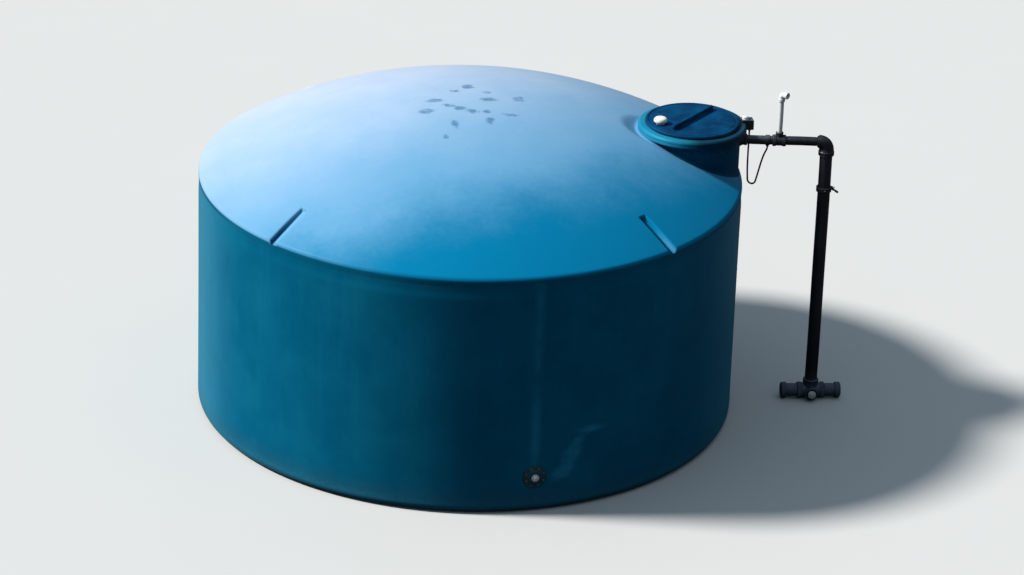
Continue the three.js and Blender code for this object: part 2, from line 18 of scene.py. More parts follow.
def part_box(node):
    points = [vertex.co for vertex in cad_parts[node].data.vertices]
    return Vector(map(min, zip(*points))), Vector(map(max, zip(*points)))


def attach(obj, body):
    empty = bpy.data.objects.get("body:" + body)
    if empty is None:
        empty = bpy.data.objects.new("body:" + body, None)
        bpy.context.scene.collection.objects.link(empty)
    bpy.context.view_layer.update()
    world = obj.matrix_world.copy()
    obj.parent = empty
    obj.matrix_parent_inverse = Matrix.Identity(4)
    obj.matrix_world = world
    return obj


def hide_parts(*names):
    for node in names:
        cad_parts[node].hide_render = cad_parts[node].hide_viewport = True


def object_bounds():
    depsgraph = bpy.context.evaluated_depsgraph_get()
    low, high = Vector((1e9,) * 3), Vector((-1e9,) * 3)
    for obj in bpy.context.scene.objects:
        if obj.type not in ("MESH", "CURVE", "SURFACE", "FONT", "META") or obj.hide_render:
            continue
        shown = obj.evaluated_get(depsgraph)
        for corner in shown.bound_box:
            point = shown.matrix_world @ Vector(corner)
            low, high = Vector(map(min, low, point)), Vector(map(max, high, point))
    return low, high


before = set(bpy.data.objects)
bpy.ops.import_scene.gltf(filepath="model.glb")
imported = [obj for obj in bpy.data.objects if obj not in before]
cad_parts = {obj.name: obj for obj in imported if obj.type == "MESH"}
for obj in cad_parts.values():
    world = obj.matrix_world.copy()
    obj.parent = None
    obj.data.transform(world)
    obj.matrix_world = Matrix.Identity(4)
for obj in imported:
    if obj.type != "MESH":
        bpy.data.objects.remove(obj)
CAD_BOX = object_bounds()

LOG = logging.getLogger("water_tank")

Colour = tuple[float, float, float]
Corner = tuple[float, float, float]
Shaper = Callable[[np.ndarray, np.ndarray, np.ndarray], np.ndarray]
Socket = bpy.types.NodeSocket


class Body(Enum):
    """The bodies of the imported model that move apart."""

    TANK = "tank"
    SEAL = "seal"
    LID = "lid"


class Slot(Enum):
    """The record's material slots."""

    SHELL = "tank_shell"
    RING = "manway_ring"
    LID = "lid"
    BLACK = "black_pipe"
    WHITE = "white_pipe"
    SEAL = "seal_rubber"
    LEAD = "lead_jacket"


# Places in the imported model


def low(node: str) -> Vector:
    """Returns a node's lowest corner."""
    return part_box(node)[0]


def high(node: str) -> Vector:
    """Returns a node's highest corner."""
    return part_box(node)[1]


def middle(node: str) -> Vector:
    """Returns the middle of a node's box."""
    return (low(node) + high(node)) / 2


def rise(node: str) -> tuple[float, float]:
    """Returns the heights of a node's foot and top."""
    return low(node).z, high(node).z


def shift(x: float = 0.0, y: float = 0.0, z: float = 0.0) -> Matrix:
    """Returns a move."""
    return Matrix.Translation((x, y, z))


def spin(degrees: float, axis: str = "Z") -> Matrix:
    """Returns a turn about an axis."""
    return Matrix.Rotation(math.radians(degrees), 4, axis)


def stand(node: str) -> Matrix:
    """Returns the move from the tank's axis to a node's own upright axis."""
    return shift(middle(node).x, middle(node).y)


ALONG_X = spin(90, "Y")  # what is made up Z lies along X
CREASE = 38.0  # degrees: edges that turn more than this stay crisp
WELD = 1e-6  # points nearer than this become one
SLIVER = 1e-7  # edges shorter than this go


# Making meshes


@dataclass
class Draft:
    """Points and faces of a piece, gathered before they become one mesh."""

    points: np.ndarray = field(default_factory=lambda: np.zeros((0, 3)))
    faces: list[tuple[int, ...]] = field(default_factory=list)

    def __add__(self, other: "Draft") -> "Draft":
        """Returns both drafts in one."""
        moved = [tuple(i + len(self.points) for i in face) for face in other.faces]
        return Draft(np.vstack([self.points, other.points]), self.faces + moved)

    def placed(self, matrix: Matrix) -> "Draft":
        """Returns the draft moved by a matrix."""
        m = np.array(matrix)
        return Draft(self.points @ m[:3, :3].T + m[:3, 3], self.faces)

    def flipped(self) -> "Draft":
        """Returns the draft with its faces turned over."""
        return Draft(self.points, [tuple(reversed(face)) for face in self.faces])


def joined(drafts: Sequence[Draft]) -> Draft:
    """Returns several drafts in one."""
    return sum(drafts, Draft())


def around(radii: np.ndarray, angles: np.ndarray, heights: np.ndarray) -> np.ndarray:
    """Returns points from their radii, their angles about the Z axis and their heights."""
    return np.stack(np.broadcast_arrays(radii * np.cos(angles), radii * np.sin(angles), heights), axis=-1)


def grid(points: np.ndarray, loop_rows: bool) -> Draft:
    """Makes a sheet of quads whose last column meets the first.

    Args:
        points: Rows by columns by 3. Faces point outwards if rows go up and columns go anticlockwise.
        loop_rows: Whether the last row meets the first.

    Returns:
        The sheet.
    """
    rows, columns = points.shape[:2]
    faces = []
    for i in range(rows if loop_rows else rows - 1):
        below, above = i * columns, (i + 1) % rows * columns
        for j in range(columns):
            k = (j + 1) % columns
            faces.append((below + j, below + k, above + k, above + j))
    return Draft(points.reshape(-1, 3), faces)


def bend(start: np.ndarray, knee: np.ndarray, end: np.ndarray, steps: int) -> list[np.ndarray]:
    """Returns the points of a curve from start to end that is drawn towards knee."""
    return [(1 - t) ** 2 * start + 2 * t * (1 - t) * knee + t * t * end for t in np.linspace(0, 1, steps + 1)]


def eased(corners: Sequence[Corner], loop: bool, steps: int) -> np.ndarray:
    """Rounds the corners of an outline.

    Args:
        corners: Each corner's two coordinates and how far before and after it the rounding starts.
        loop: Whether the outline closes on itself.
        steps: Stretches in each rounding.

    Returns:
        The outline's points, one row each.
    """
    places = np.array([corner[:2] for corner in corners], float)
    points = []
    for i, (_, _, ease) in enumerate(corners):
        here = places[i]
        if ease <= 0 or (not loop and i in (0, len(corners) - 1)):
            points.append(here)
            continue
        ways = places[i - 1] - here, places[(i + 1) % len(corners)] - here
        spans = [np.linalg.norm(way) for way in ways]
        reach = min(ease, 0.48 * spans[0], 0.48 * spans[1])
        points += bend(here + ways[0] / spans[0] * reach, here, here + ways[1] / spans[1] * reach, steps)
    return np.array(points)


def turned(outline: np.ndarray, sides: int, shape: Shaper | None = None) -> Draft:
    """Turns an outline about the Z axis.

    Args:
        outline: Radius and height of each point, up the outside, closed if it starts off the axis.
        sides: Steps round the axis.
        shape: Changes the radii, from the radii, the angles and the heights.

    Returns:
        The turned form.
    """
    angles = np.linspace(0, 2 * math.pi, sides, endpoint=False)[None, :]
    radii, heights = (np.repeat(outline[:, i:i + 1], sides, axis=1) for i in (0, 1))
    if shape is not None:
        radii = np.where(radii > 1e-9, shape(radii, angles, heights), radii)
    return grid(around(radii, angles, heights), outline[0, 0] > 0)


def lathe(corners: Sequence[Corner], sides: int, shape: Shaper | None = None, at: float = 0.0,
          steps: int = 3) -> Draft:
    """Rounds an outline's corners and turns it about the Z axis.

    Args:
        corners: Each corner's radius, height and ease, up the outside.
        sides: Steps round the axis.
        shape: Changes the radii.
        at: Added to every height.
        steps: Stretches in each rounding.

    Returns:
        The turned form.
    """
    lifted = [(radius, height + at, ease) for radius, height, ease in corners]
    return turned(eased(lifted, corners[0][0] > 0, steps), sides, shape)


def collar(inner: float, outer: float, start: float, end: float, eases: Sequence[float], sides: int,
           shape: Shaper | None = None) -> Draft:
    """Makes a ring of square section up the Z axis, with an ease for each of its four corners."""
    places = ((inner, start), (outer, start), (outer, end), (inner, end))
    return lathe([(*place, ease) for place, ease in zip(places, eases)], sides, shape)


def swept(path: np.ndarray, radii: np.ndarray | float, sides: int) -> Draft:
    """Sweeps a round section along a path, with flat ends.

    Args:
        path: Points of the centre line.
        radii: One radius, or one for each point.
        sides: Steps round the path.

    Returns:
        The closed tube.
    """
    along = np.gradient(path, axis=0)
    along /= np.linalg.norm(along, axis=1)[:, None]
    side = np.cross(along[0], (0.0, 0.0, 1.0))
    if np.linalg.norm(side) < 1e-3:
        side = np.cross(along[0], (0.0, 1.0, 0.0))
    angles = np.linspace(0, 2 * math.pi, sides, endpoint=False)[:, None]
    rings = []
    for point, ahead, radius in zip(path, along, np.broadcast_to(radii, len(path))):
        side = side - ahead * (side @ ahead)
        side /= np.linalg.norm(side)
        rings.append(point + radius * (np.cos(angles) * side + np.sin(angles) * np.cross(ahead, side)))
    return stacked(rings)


def stacked(loops: Sequence[np.ndarray]) -> Draft:
    """Joins loops of equal count into a closed form, with a flat face at each end.

    Args:
        loops: Loops of points, from one end to the other.

    Returns:
        The closed form.
    """
    sheet = grid(np.array(loops), False)
    count = len(loops[0])
    last = (len(loops) - 1) * count
    ends = [tuple(reversed(range(count))), tuple(range(last, last + count))]
    return Draft(sheet.points, sheet.faces + ends)


def prism(outline: Sequence[tuple[float, float]], depth: float, ease: float) -> Draft:
    """Makes a solid of an outline in the XZ plane, centred across Y, with eased edges.

    Args:
        outline: Corners, anticlockwise as seen from -Y.
        depth: Whole size across Y.
        ease: Size of the bevel on every edge.

    Returns:
        The solid.
    """
    build = bmesh.new()
    front, back = ([build.verts.new((x, y, z)) for x, z in outline] for y in (-depth / 2, depth / 2))
    build.faces.new(front)
    build.faces.new(list(reversed(back)))
    for i in range(len(front)):
        j = (i + 1) % len(front)
        build.faces.new((front[j], front[i], back[i], back[j]))
    bmesh.ops.bevel(build, geom=build.edges[:], offset=ease, segments=3, profile=0.5, affect="EDGES")
    build.verts.index_update()
    faces = [tuple(vert.index for vert in face.verts) for face in build.faces]
    draft = Draft(np.array([vert.co[:] for vert in build.verts]), faces)
    build.free()
    return draft


def block(x: tuple[float, float], z: tuple[float, float], depth: float, ease: float) -> Draft:
    """Makes a box with eased edges between two places on X and two heights, centred across Y."""
    return prism([(x[0], z[0]), (x[1], z[0]), (x[1], z[1]), (x[0], z[1])], depth, ease)


def flats(count: int, across: float, above: float = -math.inf, before: Shaper | None = None) -> Shaper:
    """Returns a shaper that cuts flats round a turned form.

    Args:
        count: How many flats.
        across: Half the width across them.
        above: The height that they start at.
        before: A shaper that works first.

    Returns:
        The shaper.
    """
    def shape(radii: np.ndarray, angles: np.ndarray, heights: np.ndarray) -> np.ndarray:
        """Keeps each radius inside the flats.

        Args:
            radii: The radius of each point.
            angles: The angle of each point about the axis.
            heights: The height of each point.

        Returns:
            The radii with the flats cut.
        """
        radii = radii if before is None else before(radii, angles, heights)
        part = 2 * math.pi / count
        cut_to = across / np.cos((angles + part / 2) % part - part / 2)
        return np.where(heights > above, np.minimum(radii, cut_to), radii)

    return shape


def ribbed(count: int, depth: float, low_z: float, high_z: float) -> Shaper:
    """Returns a shaper that cuts grip ribs into a nut.

    Args:
        count: How many ribs.
        depth: How deep the valleys between them are.
        low_z: Where the ribs start.
        high_z: Where they end.

    Returns:
        The shaper.
    """
    def shape(radii: np.ndarray, angles: np.ndarray, heights: np.ndarray) -> np.ndarray:
        """Sinks the valleys between the ribs."""
        wave = np.clip(1.6 * (0.5 - 0.5 * np.cos(count * angles)) - 0.45, 0, 1)
        return radii - depth * wave * ((heights > low_z) & (heights < high_z))

    return shape


def nut(radius: float, start: float, end: float, ribs: int = 18) -> Draft:
    """Makes a compression nut with grip ribs and rounded ends, up the Z axis.

    Args:
        radius: Its radius over the ribs.
        start: Where it starts.
        end: Where it ends.
        ribs: How many ribs it has.

    Returns:
        The nut.
    """
    ease = 0.12 * radius
    lower = [(0, start, 0), (radius - ease, start, ease / 2), (radius, start + ease, ease / 2),
             (radius, start + ease * 1.3, 0)]
    upper = [(r, start + end - z, e) for r, z, e in reversed(lower)]
    return lathe(lower + upper, 12 * ribs, ribbed(ribs, 0.075 * radius, start + ease, end - ease))


def bar(radius: float, start: float, end: float, ease: float = 0.0015, sides: int = 64) -> Draft:
    """Makes a round bar with eased ends, up the Z axis."""
    return lathe([(0, start, 0), (radius, start, ease), (radius, end, ease), (0, end, 0)], sides)


def post(radius: float, top: float, sides: int) -> Draft:
    """Makes a round bar up from z = 0, with only its top edge eased."""
    return lathe([(0, 0, 0), (radius, 0, 0), (radius, top, 0.001), (0, top, 0)], sides)


def bolt(radius: float, height: float) -> Draft:
    """Makes a hexagon bolt head on its washer, up the Z axis from z = 0.

    Args:
        radius: The head's radius at its corners.
        height: The head's height.

    Returns:
        The head and washer.
    """
    wide, thick, foot = radius * 1.25, height * 0.22, height * 0.2
    washer = lathe([(0, 0, 0), (wide, 0, 0.0003), (wide, thick, 0.0004), (0, thick, 0)], 24)
    head = [(0, foot, 0), (radius * 1.02, foot, 0.0002), (radius * 1.02, height * 0.85, 0.0004),
            (radius * 0.8, height, 0.0004), (0, height, 0)]
    return washer + lathe(head, 24, flats(6, radius * 0.87))


def mesh_object(draft: Draft, name: str, crease: float) -> bpy.types.Object:
    """Makes a Blender object of a draft.

    Args:
        draft: The points and faces.
        name: The piece's name.
        crease: Edges that turn more than this many degrees stay crisp.

    Returns:
        The object, linked to the scene, smooth shaded.
    """
    mesh = bpy.data.meshes.new(name)
    mesh.from_pydata(draft.points.tolist(), [], draft.faces)
    build = bmesh.new()
    build.from_mesh(mesh)
    bmesh.ops.remove_doubles(build, verts=build.verts, dist=WELD)
    bmesh.ops.dissolve_degenerate(build, edges=build.edges, dist=SLIVER)
    build.to_mesh(mesh)
    build.free()
    smooth(mesh, crease)
    return linked(name, mesh)


def linked(name: str, data: bpy.types.ID) -> bpy.types.Object:
    """Returns a new object of this data, linked to the scene.

    Args:
        name: The object's name.
        data: What the object holds.

    Returns:
        The object.
    """
    thing = bpy.data.objects.new(name, data)
    bpy.context.scene.collection.objects.link(thing)
    return thing


def smooth(mesh: bpy.types.Mesh, crease: float) -> None:
    """Shades a mesh smooth, with crisp edges where it turns by more than crease degrees.

    Args:
        mesh: The mesh.
        crease: Edges that turn more than this many degrees stay crisp.
    """
    mesh.polygons.foreach_set("use_smooth", [True] * len(mesh.polygons))
    mesh.set_sharp_from_angle(angle=math.radians(crease))
    mesh.update()


def cut(thing: bpy.types.Object, tool: Draft, crease: float) -> None:
    """Cuts a closed tool out of a closed object, and leaves one plain mesh.

    Args:
        thing: The object.
        tool: What is taken out of it.
        crease: Edges that turn more than this many degrees stay crisp.
    """
    cutter = mesh_object(tool, thing.name + "_cutter", crease)
    change = thing.modifiers.new("cut", "BOOLEAN")
    change.operation = "DIFFERENCE"
    change.solver = "MANIFOLD"
    change.object = cutter
    seen = thing.evaluated_get(bpy.context.evaluated_depsgraph_get())
    mesh = bpy.data.meshes.new_from_object(seen)
    thing.modifiers.clear()
    old, thing.data = thing.data, mesh
    mesh.name = thing.name
    bpy.data.meshes.remove(old)
    bpy.data.objects.remove(cutter)
    smooth(mesh, crease)


def soft_min(a: np.ndarray, b: np.ndarray, reach: float) -> np.ndarray:
    """Returns the lower of two values, blended where they differ by less than reach."""
    share = np.clip(0.5 + 0.5 * (b - a) / reach, 0, 1)
    return b * (1 - share) + a * share - reach * share * (1 - share)


def soft_max(a: np.ndarray, b: np.ndarray, reach: float) -> np.ndarray:
    """Returns the higher of two values, blended where they differ by less than reach."""
    return -soft_min(-a, -b, reach)


def ramp_up(value: np.ndarray, start: float, length: float) -> np.ndarray:
    """Returns a share that climbs from 0 at start to 1 over a length, which may be below 0."""
    return np.clip((value - start) / length, 0, 1)


def oval(u: np.ndarray, v: np.ndarray, long_side: float, short_side: float, lean: float,
         fade: float) -> np.ndarray:
    """Returns how much places lie in a leaning oval.

    Args:
        u: How far along the surface each place lies from the oval's middle.
        v: How far across it.
        long_side: Half the oval's length.
        short_side: Half its width.
        lean: Its turn in degrees.
        fade: How steeply its edge falls off.

    Returns:
        A share for each place.
    """
    c, s = math.cos(math.radians(lean)), math.sin(math.radians(lean))
    return np.clip(1.5 - fade * np.hypot((u * c + v * s) / long_side, (v * c - u * s) / short_side), 0, 1)


def mark(thing: bpy.types.Object, name: str, share: Callable[[np.ndarray], np.ndarray]) -> None:
    """Stores a share for each point of a piece as an attribute that its finish reads.

    Args:
        thing: The piece.
        name: The attribute's name.
        share: Gives each point its share.
    """
    mesh = thing.data
    places = np.empty(len(mesh.vertices) * 3, np.float32)
    mesh.vertices.foreach_get("co", places)
    attribute = mesh.attributes.new(name, "FLOAT", "POINT")
    attribute.data.foreach_set("value", share(places.reshape(-1, 3).astype(float)).astype(np.float32))


# Shader nodes


class Sketch:
    """Adds nodes to one node tree and links them."""

    def __init__(self, tree: bpy.types.NodeTree) -> None:
        """Takes the tree that the nodes go into."""
        self.tree = tree

    @classmethod
    def blank(cls, owner: bpy.types.Material | bpy.types.World) -> "Sketch":
        """Returns the sketch of a material's or a world's emptied tree.

        Args:
            owner: The material or the world.

        Returns:
            The sketch.
        """
        owner.use_nodes = True
        owner.node_tree.nodes.clear()
        return cls(owner.node_tree)

    def put(self, kind: str, *values: object, **settings: object) -> bpy.types.Node:
        """Adds a node.

        Args:
            kind: The node's type, without ShaderNode before it.
            *values: What goes into its inputs, in order.
            **settings: Its properties.

        Returns:
            The node.
        """
        node = self.tree.nodes.new(kind if kind.startswith("Node") else "ShaderNode" + kind)
        for name, value in settings.items():
            setattr(node, name, value)
        for socket, value in zip(node.inputs, values):
            self.feed(socket, value)
        return node

    def feed(self, socket: Socket, value: object) -> None:
        """Links a socket to value, or sets value as its constant.

        Args:
            socket: A node's input.
            value: Another node's output, or a constant.
        """
        if isinstance(value, bpy.types.NodeSocket):
            self.tree.links.new(value, socket)
        else:
            socket.default_value = (*value, 1.0) if socket.type == "RGBA" else value

    def math(self, how: str, *values: object) -> Socket:
        """Adds a math node and returns its result."""
        return self.put("Math", *values, operation=how).outputs[0]

    def times(self, first: object, *others: object) -> Socket:
        """Returns the product of several values."""
        for other in others:
            first = self.math("MULTIPLY", first, other)
        return first

    def scaled(self, value: object, factor: object, more: object) -> Socket:
        """Returns value times factor, plus more."""
        return self.math("MULTIPLY_ADD", value, factor, more)

    def stretched(self, place: Socket, factors: tuple[float, float, float]) -> Socket:
        """Returns a place with its axes scaled."""
        return self.put("VectorMath", place, factors, operation="MULTIPLY").outputs[0]

    def height(self, place: Socket | None = None) -> Socket:
        """Returns a place's Z, or the Z of the surface's normal."""
        place = place or self.put("NewGeometry").outputs["Normal"]
        return self.put("SeparateXYZ", place).outputs["Z"]

    def attribute(self, name: str) -> Socket:
        """Returns the share that the mesh stores under a name."""
        return self.put("Attribute", attribute_name=name).outputs["Fac"]

    def noise(self, place: Socket, scale: object, detail: float = 3.0, rough: float = 0.55) -> Socket:
        """Adds a noise texture and returns its value, from 0 to 1.

        Args:
            place: Where the noise is read.
            scale: How fine the noise is.
            detail: How many octaves it has.
            rough: How much its fine octaves count.

        Returns:
            The noise, from 0 to 1.
        """
        node = self.put("TexNoise")
        for name, value in (("Vector", place), ("Scale", scale), ("Detail", detail), ("Roughness", rough)):
            self.feed(node.inputs[name], value)
        return node.outputs[0]

    def ramp(self, value: Socket, start: object, end: object, low_end: float = 0.0,
             high_end: float = 1.0) -> Socket:
        """Maps value smoothly from start..end to low_end..high_end."""
        given = value, start, end, low_end, high_end
        return self.put("MapRange", *given, interpolation_type="SMOOTHSTEP").outputs[0]

    def tint(self, share: object, first: object, second: object) -> Socket:
        """Mixes two colours by share and returns the result.

        Args:
            share: How much of the second colour.
            first: The first colour.
            second: The second colour.

        Returns:
            The mixed colour.
        """
        node = self.put("Mix", data_type="RGBA")
        for index, value in ((0, share), (6, first), (7, second)):
            self.feed(node.inputs[index], value)
        return node.outputs[2]

    def bump(self, height: Socket, distance: float, strength: float, under: Socket | None = None) -> Socket:
        """Adds a bump node, over another normal if one is given, and returns its normal.

        Args:
            height: The relief.
            distance: How high it stands.
            strength: How much it counts.
            under: The normal that it lies on.

        Returns:
            The normal.
        """
        node = self.put("Bump")
        given = {"Strength": strength, "Distance": distance, "Height": height}
        for name, value in (given if under is None else given | {"Normal": under}).items():
            self.feed(node.inputs[name], value)
        return node.outputs[0]


class Effect:
    """A shader node group that several finishes place, each with its own values."""

    name = ""
    inputs: tuple[tuple[str, float], ...] = ()

    def draw(self, s: Sketch, place: Socket, *given: Socket) -> Socket:
        """Adds the group's nodes and returns what it puts out."""
        raise NotImplementedError

    def group(self) -> bpy.types.NodeTree:
        """Returns the node group, built the first time.

        Returns:
            The group.
        """
        found = bpy.data.node_groups.get(self.name)
        if found is not None:
            return found
        tree = bpy.data.node_groups.new(self.name, "ShaderNodeTree")
        tree.interface.new_socket(name="Place", in_out="INPUT", socket_type="NodeSocketVector")
        for name, value in self.inputs:
            socket = tree.interface.new_socket(name=name, in_out="INPUT", socket_type="NodeSocketFloat")
            socket.default_value = value
        tree.interface.new_socket(name="Mask", in_out="OUTPUT", socket_type="NodeSocketFloat")
        s = Sketch(tree)
        given = list(s.put("NodeGroupInput").outputs)[:len(self.inputs) + 1]
        s.put("NodeGroupOutput", self.draw(s, *given))
        return tree

    def use(self, s: Sketch, place: Socket, **values: float) -> Socket:
        """Places the group in a material.

        Args:
            s: The material's nodes.
            place: The point on the piece.
            **values: The group's inputs, by name.

        Returns:
            The group's output.
        """
        node = s.put("Group", node_tree=self.group())
        for name, value in {"Place": place, **values}.items():
            s.feed(node.inputs[name], value)
        return node.outputs[0]


class MouldGrain(Effect):
    """The fine pebbled skin that a mould leaves on plastic."""

    name = "mould_grain"
    inputs = (("Scale", 260.0), ("Coarse", 0.5))

    def draw(self, s: Sketch, place: Socket, scale: Socket, coarse: Socket) -> Socket:
        """Adds fine pebbles to slow ripples."""
        slow = s.noise(place, s.times(scale, 0.09), 2.0)
        return s.scaled(s.times(slow, coarse), 2.0, s.noise(place, scale, 2.0))


class Mottle(Effect):
    """Slow cloudy changes of tone."""

    name = "mottle"
    inputs = (("Scale", 1.8), ("Contrast", 0.12))

    def draw(self, s: Sketch, place: Socket, scale: Socket, contrast: Socket) -> Socket:
        """Spreads noise about its mean."""
        cloud = s.noise(place, scale, 5.0, 0.6)
        return s.ramp(cloud, s.math("SUBTRACT", 0.5, contrast), s.math("ADD", 0.5, contrast))


class RunStreaks(Effect):
    """Streaks that rain leaves down a steep face."""

    name = "run_streaks"
    inputs = (("Scale", 13.0), ("Start", 0.5), ("End", 0.72))

    def draw(self, s: Sketch, place: Socket, scale: Socket, start: Socket, end: Socket) -> Socket:
        """Stretches noise down the face and keeps it off flat tops.

        Args:
            s: The nodes.
            place: The point on the piece.
            scale: How fine the noise is.
            start: The noise at which streaks begin.
            end: The noise at which they are full.

        Returns:
            The streaks' share.
        """
        lines = s.ramp(s.noise(s.stretched(place, (1.0, 1.0, 0.05)), scale, 4.0, 0.65), start, end)
        steep = s.ramp(s.math("ABSOLUTE", s.height()), 0.75, 0.15)
        return s.times(lines, steep, s.ramp(s.noise(place, 1.4, 3.0), 0.35, 0.62))


class DustFilm(Effect):
    """Dust that settles on what faces up."""

    name = "dust_film"
    inputs = (("Scale", 9.0), ("Level", 0.35), ("Cover", 0.5))

    def draw(self, s: Sketch, place: Socket, scale: Socket, level: Socket, cover: Socket) -> Socket:
        """Breaks the up-facing share with noise."""
        patches = s.ramp(s.noise(place, scale, 6.0, 0.7), 0.3, 0.7)
        return s.times(s.ramp(s.height(), level, 0.95), patches, cover)


class EdgeWear(Effect):
    """Rubbed edges, where a piece's skin is scraped paler."""

    name = "edge_wear"
    inputs = (("Scale", 60.0), ("Start", 0.515), ("End", 0.58))

    def draw(self, s: Sketch, place: Socket, scale: Socket, start: Socket, end: Socket) -> Socket:
        """Keeps the sharp outer edges and breaks them with noise."""
        edge = s.ramp(s.put("NewGeometry").outputs["Pointiness"], start, end)
        return s.times(edge, s.ramp(s.noise(place, scale, 4.0), 0.4, 0.6))


class Scuffs(Effect):
    """Short scratches that run across each other in patches."""

    name = "scuffs"
    inputs = (("Scale", 5.0), ("Cover", 0.5))

    def draw(self, s: Sketch, place: Socket, scale: Socket, cover: Socket) -> Socket:
        """Crosses two sets of stretched noise and keeps them to patches.

        Args:
            s: The nodes.
            place: The point on the piece.
            scale: How fine the noise is.
            cover: How much the patches cover.

        Returns:
            The scratches' share.
        """
        sets = [s.ramp(s.noise(s.stretched(place, factors), scale, 8.0, 0.75), 0.665, 0.70)
                for factors in ((1.0, 1.3, 14.0), (9.0, 7.0, 1.6))]
        patches = s.ramp(s.noise(place, 1.7, 2.0), s.math("SUBTRACT", 0.72, cover), 0.75)
        return s.times(s.math("MAXIMUM", *sets), patches)


class GroundSplash(Effect):
    """Soil that rain throws up against the foot of a piece."""

    name = "ground_splash"
    inputs = (("Height", 0.2), ("Cover", 0.6))

    def draw(self, s: Sketch, place: Socket, height: Socket, cover: Socket) -> Socket:
        """Fades upwards from the ground, with a ragged edge."""
        ragged = s.scaled(s.noise(place, 11.0, 6.0, 0.7), -0.16, s.height(place))
        return s.times(s.math("POWER", s.ramp(ragged, height, -0.1), 1.6), cover)


# Finishes


@dataclass(frozen=True)
class Finish:
    """A material for one of the record's slots."""

    name: str
    slot: Slot

    def shading(self, s: Sketch, place: Socket) -> dict[str, object]:
        """Returns what goes into the shader's inputs, by name."""
        raise NotImplementedError

    def material(self) -> bpy.types.Material:
        """Returns the finish as a material, built the first time.

        Returns:
            The material.
        """
        found = bpy.data.materials.get(self.name)
        if found is not None:
            return found
        material = bpy.data.materials.new(self.name)
        s = Sketch.blank(material)
        shader = s.put("BsdfPrincipled")
        for name, value in self.shading(s, s.put("TexCoord").outputs["Object"]).items():
            s.feed(shader.inputs[name], value)
        s.put("OutputMaterial", shader.outputs[0])
        return material


@dataclass(frozen=True)
class Plastic(Finish):
    """A moulded or extruded finish, with its weather and wear.

    Colours are linear. Shares run from 0 to 1. clouds are the scale and the share of pale in colour.
    """

    colour: Colour
    pale: Colour
    dust: Colour = (0.34, 0.32, 0.28)
    dusty: float = 0.25
    roughness: float = 0.42
    grain: float = 0.0004
    grain_scale: float = 260.0
    scuffed: float = 0.35
    streaked: float = 0.3
    splashed: float = 0.5
    sheen: float = 0.0
    sheen_tint: Colour = (0.8, 0.92, 1.0)
    sheen_roughness: float = 0.45
    specular: float = 0.5
    specular_tint: Colour = (1.0, 1.0, 1.0)
    clouds: tuple[float, float] = (3.0, 0.35)

    def skin(self, s: Sketch, place: Socket) -> Socket:
        """Returns the colour before dust and wear.

        Args:
            s: The nodes.
            place: The point on the piece.

        Returns:
            The colour.
        """
        cloudy = Mottle().use(s, place, Scale=self.clouds[0], Contrast=0.2)
        toned = s.tint(s.times(cloudy, self.clouds[1]), self.colour, self.pale)
        return s.tint(s.times(RunStreaks().use(s, place), self.streaked), toned, self.pale)

    def shading(self, s: Sketch, place: Socket) -> dict[str, object]:
        """Returns what goes into the shader's inputs, by name.

        Args:
            s: The nodes.
            place: The point on the piece.

        Returns:
            The inputs' values.
        """
        scuffs = Scuffs().use(s, place, Cover=self.scuffed)
        worn = s.times(s.math("MAXIMUM", scuffs, EdgeWear().use(s, place)), 0.55)
        soil = s.math("MAXIMUM", DustFilm().use(s, place, Cover=self.dusty),
                      GroundSplash().use(s, place, Cover=self.splashed))
        rough = s.scaled(soil, 0.3, s.scaled(s.noise(place, 7.0, 4.0), 0.16, self.roughness - 0.08))
        relief = s.bump(MouldGrain().use(s, place, Scale=self.grain_scale), self.grain, 0.5)
        return {"Base Color": s.tint(soil, s.tint(worn, self.skin(s, place), self.pale), self.dust),
                "Roughness": s.scaled(scuffs, 0.12, rough), "Normal": s.bump(scuffs, -0.0006, 0.4, relief),
                "Specular IOR Level": self.specular, "Specular Tint": self.specular_tint,
                "Sheen Weight": self.sheen, "Sheen Tint": self.sheen_tint,
                "Sheen Roughness": self.sheen_roughness}


@dataclass(frozen=True)
class WallPlastic(Plastic):
    """The wall's deep teal, with one pale stripe and patches of rub marks that its mesh places.

    bared is their colour, and stripe and rubbed name the mesh's attributes. film is the colour of a
    painted sheen, mixed in where the wall is seen at a glancing angle.
    """

    bared: Colour = (0.03, 0.31, 0.50)
    painted_sheen: Colour = (0.06, 0.30, 0.45)
    stripe: str = "wall_stripe"
    rubbed: str = "wall_rubs"

    def skin(self, s: Sketch, place: Socket) -> Socket:
        """Returns the teal with the painted sheen, the stripe and the rubs on it.

        Args:
            s: The nodes.
            place: The point on the piece.

        Returns:
            The colour.
        """
        # Painted sheen: the wall pales towards its outline, where it is seen edge-on.
        glancing = s.ramp(s.put("LayerWeight").outputs["Facing"], 0.5, 0.9, 0.0, 0.6)
        toned = s.tint(glancing, super().skin(s, place), self.painted_sheen)
        broken = s.times(s.attribute(self.stripe), s.ramp(s.noise(place, 4.5, 4.0), 0.25, 0.7), 0.55)
        marks = s.noise(s.stretched(place, (1.0, 1.0, 2.6)), 11.0, 9.0, 0.8)
        torn = s.ramp(s.scaled(s.attribute(self.rubbed), 0.6, marks), 0.62, 1.35, 0.0, 0.85)
        return s.tint(torn, s.tint(broken, toned, self.bared), self.bared)


